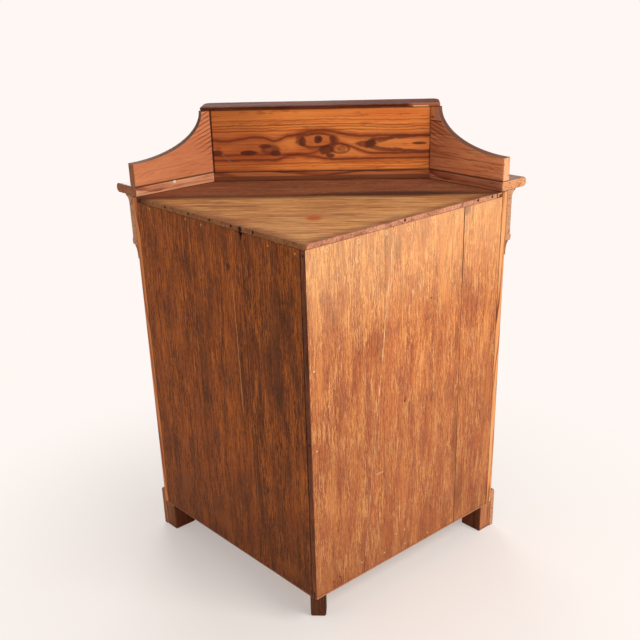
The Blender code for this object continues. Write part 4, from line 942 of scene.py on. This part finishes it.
# The board was cut beside the heart: fine straight lines above and below, and in the middle the
# rings part round two knots and close again in a long tongue at the left
wood = Finish('gallery pine', rear_origin, (1, 0, 0), UP)
lines = wood.ease(wood.noise(0.20, 0.010, 2, 33.0), 0.40, 0.70)
middle = wood.ease(wood.a, 1.026, 1.014) * wood.ease(wood.a, 0.952, 0.962)
wood.figure(OLD_PINE, GALLERY_TONES, (0.990, -0.050), (0.01, 0.010), 2.0, (),
            lines * (1 - middle) * wood.ease(wood.a, 1.066, 1.046) * 0.45)
wood.stain(middle * wood.noise(0.09, 0.012, 2, 35.0) * 0.6, (228, 138, 78))
wood.threads((124, 56, 32), 0.24, 0.0030, 0.17, 0.50, 37.0, clump=0.6)
wood.threads((150, 74, 44), 0.06, 0.014, 0.13, 0.45, 39.0)
wood.threads((238, 162, 100), 0.10, 0.0030, 0.13, 0.35, 43.0, clump=0.6)
wood.stain(wood.ease(wood.g, 0.07, 0.19, 0.40), (126, 52, 27))
LATE = (112, 50, 30)
for level, humps, thick in (
        (1.0105, ((0.235, -0.008, 0.035), (0.110, -0.009, 0.016), (0.0, 0.0145, 0.050)), 0.0044),
        (0.9565, ((0.070, 0.010, 0.022), (0.028, 0.007, 0.030)), 0.0036),
        (0.9690, ((-0.045, 0.024, 0.042),), 0.0034)):
    wood.contour(level, humps, thick * 2.8, (166, 72, 36), 0.55)
    wood.contour(level, humps, thick, LATE, 0.75)
wood.stain(wood.blot(0.150, 0.982, 0.060, 0.018, 0.5, 0.9) * 0.5, (176, 82, 40))
wood.stain(wood.blot(0.004, 0.994, 0.052, 0.026, 0.4, 0.9) * 0.5, (178, 84, 42))
wood.stain(wood.blot(-0.160, 0.990, 0.034, 0.009, 0.5, 0.5) * 0.6, (238, 144, 70))
wood.stain(wood.blot(0.085, 0.992, 0.028, 0.009, 0.5, 0.5) * 0.5, (238, 144, 70))
for level, strength in ((1.0490, 0.45), (1.0385, 0.55), (1.0320, 0.50), (1.0250, 0.55),
                        (0.9455, 0.45), (0.9390, 0.25)):
    wood.contour(level, ((0.0, 0.002, 0.08), (-0.19, -0.002, 0.05)), 0.0018, LATE, strength)
wood.hoop(0.008, 1.0015, 0.044, 0.0165, 0.30, LATE, 0.75)
wood.hoop(-0.048, 0.981, 0.020, 0.0110, 0.30, LATE, 0.65)
wood.hoop(-0.262, 0.991, 0.150, 0.0185, 0.26, LATE, 0.80)
for g, a, long, wide, dark in (
        (0.177, 0.974, 0.023, 0.0058, 0.95), (0.122, 0.981, 0.024, 0.0125, 0.65),
        (0.110, 0.972, 0.013, 0.0070, 0.80), (0.136, 0.989, 0.015, 0.0050, 0.75),
        (0.004, 1.003, 0.0095, 0.0095, 0.90), (0.042, 1.000, 0.008, 0.0120, 0.75),
        (-0.030, 1.003, 0.007, 0.0090, 0.60),
        (-0.014, 0.979, 0.018, 0.0115, 0.80), (-0.023, 0.965, 0.012, 0.0050, 0.85),
        (-0.052, 0.980, 0.011, 0.0085, 0.50), (0.255, 0.975, 0.015, 0.0065, 0.85),
        (-0.122, 0.992, 0.016, 0.0095, 0.85), (-0.240, 0.991, 0.016, 0.0034, 0.85)):
    wood.stain(wood.blot(g, a, long, wide, 0.25, 0.9) * dark, (92, 42, 30), 0.3)
wood.stain(wood.blot(0.127, 0.981, 0.008, 0.0040, 0.4, 0.8) * 0.5, (176, 96, 56))
wood.stain(wood.blot(0.003, 1.004, 0.0035, 0.0035, 0.5, 0.5) * 0.6, (60, 34, 30), 0.4)
scratch = abs(wood.a - 0.958 - (wood.g - 0.2265) * 0.93)
wood.stain(wood.ease(scratch, 0.0034, 0.0010, 0.5) * wood.blot(0.2265, 0.958, 0.020, 0.020, 0.2),
           (150, 116, 98))
wood.stain(wood.ease(wood.a, 0.9345, 0.9300) * 0.5, (90, 52, 36))
wood.stain(wood.ease(wood.g, 0.2605, 0.2630) * 0.85, (38, 20, 14))
wood.stain(wood.ease(wood.g, -0.2620, -0.2638) * wood.noise(0.5, 0.03, 2, 36.0), (70, 42, 28))
face = mahogany('gallery veneer', origin, way, UP, (1.02, -0.06), (0.02, 0.03))
face.worn((140, 84, 54), 0.003, 0.6)
half = FRONT_HALF - GALLERY_SHORT
rings = board(rear_origin, RIGHTWARDS, UP, REARWARDS,
              lambda a, d: (-half + d * MITRE, half - d * MITRE),
              straight(GALLERY_LOW, GALLERY_TOP), GALLERY, 170, 50, 0.0010,
              plank_surface(80, ()))
skin('gallery_board', rings, 'carcass', 'pine_gallery',
     [wood.close(0.0008, 0.6), face.close(*POLISHED)], (0, 1, 1, 1), (1, 1),
     stands_for='gallery_centre')
WING = 0.23285
WING_HOLLOW = 0.209
WING_DROP = 0.094
hollow = np.sin(np.radians(np.linspace(0, 90, 60))) * WING_HOLLOW / WING
stations = np.concatenate((hollow, np.linspace(hollow[-1], 1, 10)[1:]))
WING_TONES = {1: ((234, 150, 102), (208, 124, 82), (170, 92, 56), (112, 56, 34)),
              -1: ((255, 174, 118), (238, 140, 91), (188, 101, 62), (112, 57, 38))}
# The wings' sawn ends at the walls are one wood: paler on the lit side as painted light and darker
# on the shaded side as painted shade.
WING_ENDS = {1: ((196, 130, 92), (166, 104, 70), (132, 78, 50), (84, 46, 32)),
             -1: ((255, 204, 158), (246, 178, 132), (216, 146, 102), (156, 94, 64))}


def sweep(t):
    """A level lower edge, and an upper one that rises from the wall's end in a quarter of an
    ellipse and then stays level."""
    across = t * WING / WING_HOLLOW
    return (GALLERY_LOW + t * 0,
            GALLERY_TOP - WING_DROP * np.sqrt(np.clip(1 - across ** 2, 0, 1)))


for hand, side in HANDS:
    start = plan(hand, WALL) - away(hand) * GALLERY_IN
    wood = Finish('wing pine ' + side, start, inwards(hand), UP)
    bold = wood.ease(wood.g + wood.a, 1.15, 1.24) * 0.80 + wood.ease(
        wood.noise(0.16, 0.02, 2, 17.0), 0.45, 0.75) * 0.25
    wood.figure(OLD_PINE, WING_TONES[hand], (0.86, -0.07), (0.35, 0.03), 6.0 + hand, (), bold)
    wood.threads((128, 66, 40), 0.09, 0.0022, 0.14, 0.40, 44.0, clump=0.7)
    if hand < 0:
        wood.threads((138, 72, 45), 0.14, 0.0055, 0.19, 0.45, 45.0)
        wood.threads((84, 44, 30), 0.040, 0.0030, 0.12, 0.45, 46.0, clump=0.8)
        wood.stain(wood.ease(wood.g, 0.09, 0.21, 0.8) * wood.noise(0.09, 0.03, 3, 48.0),
                   (124, 58, 34))
        block = wood.ease(wood.a, 1.0440, 1.0455)
        wood.stain(block * 0.9, (206, 138, 112))
        wood.stain(block * wood.ease(wood.g, 0.2115, 0.2130) * 0.9, (232, 146, 74))
        wood.stain(wood.ease(abs(wood.a - 1.0440), 0.0018, 0.0006) * 0.8, (52, 28, 20))
        wood.stain(wood.blot(0.2180, 1.052, 0.005, 0.0035, 0.4) * 0.7, (104, 52, 26))
    wood.worn((186, 128, 88), 0.0035, 0.5)
    wood.stain(wood.ease(wood.a, 0.9325, 0.9295) * 0.6, (66, 36, 24))
    upper = mahogany('wing edge ' + side, start, inwards(hand), UP, (1.02, -0.05),
                     tones=((150, 100, 76), (120, 76, 58), (92, 56, 44), (58, 34, 28)))
    upper.roughness = upper.roughness + 0.3
    upper.worn((176, 124, 92), 0.003, 0.5)
    face = mahogany('wing veneer ' + side, start, inwards(hand), UP, (1.02, -0.05))
    face.worn((140, 84, 54), 0.003, 0.6)
    bare = end_grain('wing end ' + side, start, away(hand), WING_ENDS[hand])
    bare.worn((232, 184, 146), 0.0025, 0.6)
    rings = board(start, inwards(hand), UP, -away(hand),
                  lambda a, d: (d * 0, WING - GALLERY_SHORT - d * MITRE), sweep, GALLERY,
                  stations, 40, 0.0010, plank_surface(84 + hand, ()))
    skin('wing_' + side, rings, 'carcass', 'pine_gallery',
         [wood.close(0.0008, 0.6), face.close(*POLISHED), upper.close(0.0005, 0.6, 0, 0.06),
          bare.close(0.0008, 0.7)], (0, 2, 1, 1), (3, 1), stands_for='gallery_wing_' + side)

# Capping on the gallery: a thin mahogany board with rounded front corners. Its rear edge has
# lost a splinter of veneer.
CAP_Z = 1.085
CAP_HALF = 0.287650
CAP_REAR = FRONT_Y + 0.024
CAP_DEEP = 0.076
CAP_THICK = 0.009
CAP_ROUND = 0.020
wood = mahogany('capping', (0, CAP_REAR, CAP_Z), (1, 0, 0), (0, -1, 0), (0.05, -0.05),
                (0.02, 0.03), 3.0, ((126, 66, 42), (98, 44, 28), (72, 30, 20), (42, 18, 14)))
wood.worn((150, 100, 72), 0.003, 0.7)
rear = wood.ease(wood.a, 0.0040, 0.0020)
wood.stain(rear * wood.ease(wood.g, -0.205, -0.228) * 0.8, (190, 110, 74))
lost = wood.blot(-0.2415, 0.0, 0.019, 0.006, 0.2, 0.5) * wood.ease(wood.d, 0.0046, 0.0060)
wood.stain(lost, (244, 204, 138), 1.0)


def cap_ends(a, d):
    """Square ends that turn through a quarter circle at the front corners."""
    turn = np.clip(a - (CAP_DEEP - CAP_ROUND), 0, CAP_ROUND)
    inset = CAP_ROUND - np.sqrt(np.clip(CAP_ROUND ** 2 - turn ** 2, 0, None))
    return -CAP_HALF + inset, CAP_HALF - inset


closer = np.concatenate((np.linspace(0, 0.73, 22),
                         0.73 + 0.27 * np.sin(np.radians(np.linspace(6, 90, 14)))))
rings = board(np.array((0, CAP_REAR, CAP_Z)), RIGHTWARDS, -REARWARDS, UP, cap_ends,
              straight(0, CAP_DEEP), CAP_THICK, 150, closer, 0.0022, plank_surface(90, ()))
wood.roughness = wood.roughness + 0.3
skin('capping', rings, 'carcass', 'mahogany', [wood.close(0.0005, 0.7, 0.0, 0.05)],
     stands_for='gallery_cap')

# Drawer: pine, dovetailed at its corners, with a bottom slid into grooves. The rail under it is
# faced with mahogany.
for number, (name, grain, across) in enumerate((
        ('drawer_front', (1, 0, 0), (0, 0, 1)), ('drawer_side_right', (0, 1, 0), (0, 0, 1)),
        ('drawer_side_left', (0, 1, 0), (0, 0, 1)), ('drawer_back', (1, 0, 0), (0, 0, 1)),
        ('drawer_bottom', (0, 1, 0), (1, 0, 0)))):
    wood = pine('pine ' + name.replace('_', ' '), (0, 0, 0), grain, across,
                (0.80, -0.05 * number), (0.02, 0.04), 7 + number * 1.3,
                ((236, 186, 132), (214, 160, 106), (184, 128, 80), (132, 86, 52)))
    dress(wood.close(0.0005, 0.5), name)
wood = mahogany('drawer rail', (0, FRONT_Y, 0), (1, 0, 0), UP, (0.76, -0.05))
dress(wood.close(*POLISHED), 'drawer_rail')

# Door: mahogany stiles and rails, tenoned and scribed over their ovolo, round one panel whose
# veneer was cut where the trunk forks, so that its grain stands up like a flame.
for name, grain, across in (('door_stile_right', (0, 0, 1), (1, 0, 0)),
                            ('door_stile_left', (0, 0, 1), (1, 0, 0)),
                            ('door_rail_top', (1, 0, 0), (0, 0, 1)),
                            ('door_rail_foot', (1, 0, 0), (0, 0, 1))):
    wood = mahogany(name.replace('_', ' '), (0, FRONT_Y, 0), grain, across, (0.10, -0.07),
                    (0.03, 0.03), len(name))
    dress(wood.close(*POLISHED), name)
wood = mahogany('door panel', (0, FRONT_Y, 0.43), (0, 0, 1), (1, 0, 0), (0.0, -0.05),
                (0.0, 0.0), 1.0)
side = abs(wood.a)
feather = wood.g - (side * side * 14.0 + side * 0.9) + (wood.noise(0.10, 0.05) - 0.5) * 0.12
wave = wood.number('FRACT', feather / 0.034)
band = wood.ease(wave, 0.0, 0.55) * wood.ease(wave, 1.0, 0.60)
spread = wood.ease(side, 0.16, 0.02)
wood.stain(band * spread * 0.55, (164, 88, 46))
wood.stain((1 - band) * spread * 0.35, (58, 22, 14))
dress(wood.close(0.0002, 0.3, 0.5), 'door_panel')


# Ironmongery: two brass butt hinges, a brass lock case with its bolt, and a steel key.
def metal(name, tones, rough):
    """Cast and filed metal: tarnish in soft patches, brighter where it is rubbed."""
    made = Finish(name)
    patch = made.noise(0.012, 0.012, 4)
    fine = made.noise(0.0015, 0.0015, 2)
    made.colour = made.mix(shade(*tones[0]), shade(*tones[1]), made.ease(patch, 0.35, 0.70))
    made.height = fine
    made.roughness = rough + (patch - 0.5) * 0.4 + (fine - 0.5) * 0.2
    made.shader.inputs['Metallic'].default_value = 1.0
    return made.close(0.0002, 0.3)


dress(metal('brass', ((206, 164, 92), (146, 104, 52)), 0.36), 'hinge_top_stile_leaf',
      'hinge_top_door_leaf', 'hinge_foot_stile_leaf', 'hinge_foot_door_leaf', 'lock_case',
      'lock_bolt')
dress(metal('steel', ((150, 146, 140), (98, 88, 78)), 0.42), 'key')

# Floor, light and camera. The floor is plain and pale and keeps the shadow. A broad lamp stands
# to the left of the cabinet's back, and the room's even light fills the rest.
bpy.context.scene.view_settings.view_transform = 'Standard'
ROOM = shade(255, 247, 243)
floor_mesh = bpy.data.meshes.new('floor')
line = np.linspace(-9, 9, 2)
floor_mesh.from_pydata([(x, y, -0.0004) for y in line for x in line], [], [(0, 1, 3, 2)])
floor = bpy.data.objects.new('floor', floor_mesh)
bpy.context.scene.collection.objects.link(floor)
ground = Finish('floor')
ground.colour = ground.mix(shade(252, 246, 240), shade(255, 252, 248),
                           ground.noise(0.35, 0.35, 2))
ground.height = ground.noise(0.004, 0.004, 2)
ground.roughness = ground.noise(0.05, 0.05, 2) * 0.2 + 0.5
floor_mesh.materials.append(ground.close(0.0002, 0.2))
seen = ground.node('ShaderNodeLightPath', out='Is Camera Ray')
shiny = ground.node('ShaderNodeLightPath', out='Is Glossy Ray')
clear = ground.node('ShaderNodeLightPath', out='Is Transmission Ray')
flat = ground.node('ShaderNodeVectorMath', {'operation': 'LENGTH'}, {0: ground.point}, 'Value')
fade = (ground.ease(flat, 0.30, 1.25) * 0.64 + 0.36) * ground.number(
    'MINIMUM', seen + shiny + clear, 1.0)
glow = ground.node('ShaderNodeEmission', None, {'Color': ROOM, 'Strength': 1.0})
shown = ground.node('ShaderNodeMixShader', None,
                    {0: fade, 1: Tap(ground, ground.shader.outputs[0]), 2: glow})
ground.tree.links.new(shown.socket, ground.tree.nodes['Material Output'].inputs['Surface'])

world = bpy.data.worlds.new('room')
world.use_nodes = True
bpy.context.scene.world = world
tree = world.node_tree
paths = tree.nodes.new('ShaderNodeLightPath')
even = tree.nodes['Background']
even.inputs['Color'].default_value = (1.0, 0.97, 0.94, 1)
even.inputs['Strength'].default_value = 0.42
white = tree.nodes.new('ShaderNodeBackground')
white.inputs['Color'].default_value = (*ROOM, 1)
white.inputs['Strength'].default_value = 1.0
rays = paths.outputs['Is Camera Ray']
for kind in ('Is Glossy Ray', 'Is Transmission Ray'):
    either = tree.nodes.new('ShaderNodeMath')
    either.operation = 'MAXIMUM'
    tree.links.new(rays, either.inputs[0])
    tree.links.new(paths.outputs[kind], either.inputs[1])
    rays = either.outputs[0]
both = tree.nodes.new('ShaderNodeMixShader')
tree.links.new(rays, both.inputs[0])
tree.links.new(even.outputs[0], both.inputs[1])
tree.links.new(white.outputs[0], both.inputs[2])
tree.links.new(both.outputs[0], tree.nodes['World Output'].inputs['Surface'])


def lamp(name, place, target, size, watts, colour):
    """A square soft lamp that faces its target."""
    light = bpy.data.lights.new(name, 'AREA')
    light.size = size
    light.energy = watts
    light.color = colour
    made = bpy.data.objects.new(name, light)
    bpy.context.scene.collection.objects.link(made)
    place, target = np.array(place, float), np.array(target, float)
    back = (place - target) / np.linalg.norm(place - target)
    side = np.cross(UP, back) / np.linalg.norm(np.cross(UP, back))
    made.location = place
    turn = np.stack((side, np.cross(back, side), back), axis=1)
    made.rotation_mode = 'QUATERNION'
    made.rotation_quaternion = Matrix(turn.tolist()).to_quaternion()


lamp('window', (-2.3, 1.5, 2.7), (0, 0, 0.5), 1.6, 73, (1.0, 0.98, 0.95))
lamp('reflector', (2.4, 1.2, 1.6), (0, 0, 0.5), 2.0, 5, (1.0, 0.98, 0.96))
lamp('front fill', (0.8, -3.0, 1.8), (0, 0, 0.5), 2.0, 40, (1.0, 0.98, 0.96))

camera = bpy.data.cameras.new('camera')
camera.lens = 53.651
camera.sensor_width = 36
camera.shift_y = 0.125
eye = bpy.data.objects.new('camera', camera)
bpy.context.scene.collection.objects.link(eye)
right = np.array((-0.99805, -0.05628, -0.02704))
down = np.array((0.00078, 0.42178, -0.90670))
ahead = np.array((0.06243, -0.90495, -0.42092))
eye.location = (-0.1437, 2.1104, 1.4040)
eye.rotation_mode = 'QUATERNION'
eye.rotation_quaternion = Matrix(np.stack((right, -down, -ahead), axis=1).tolist()
                                    ).to_quaternion()
camera.clip_end = 60
bpy.context.scene.camera = eye

bpy.context.view_layer.update()
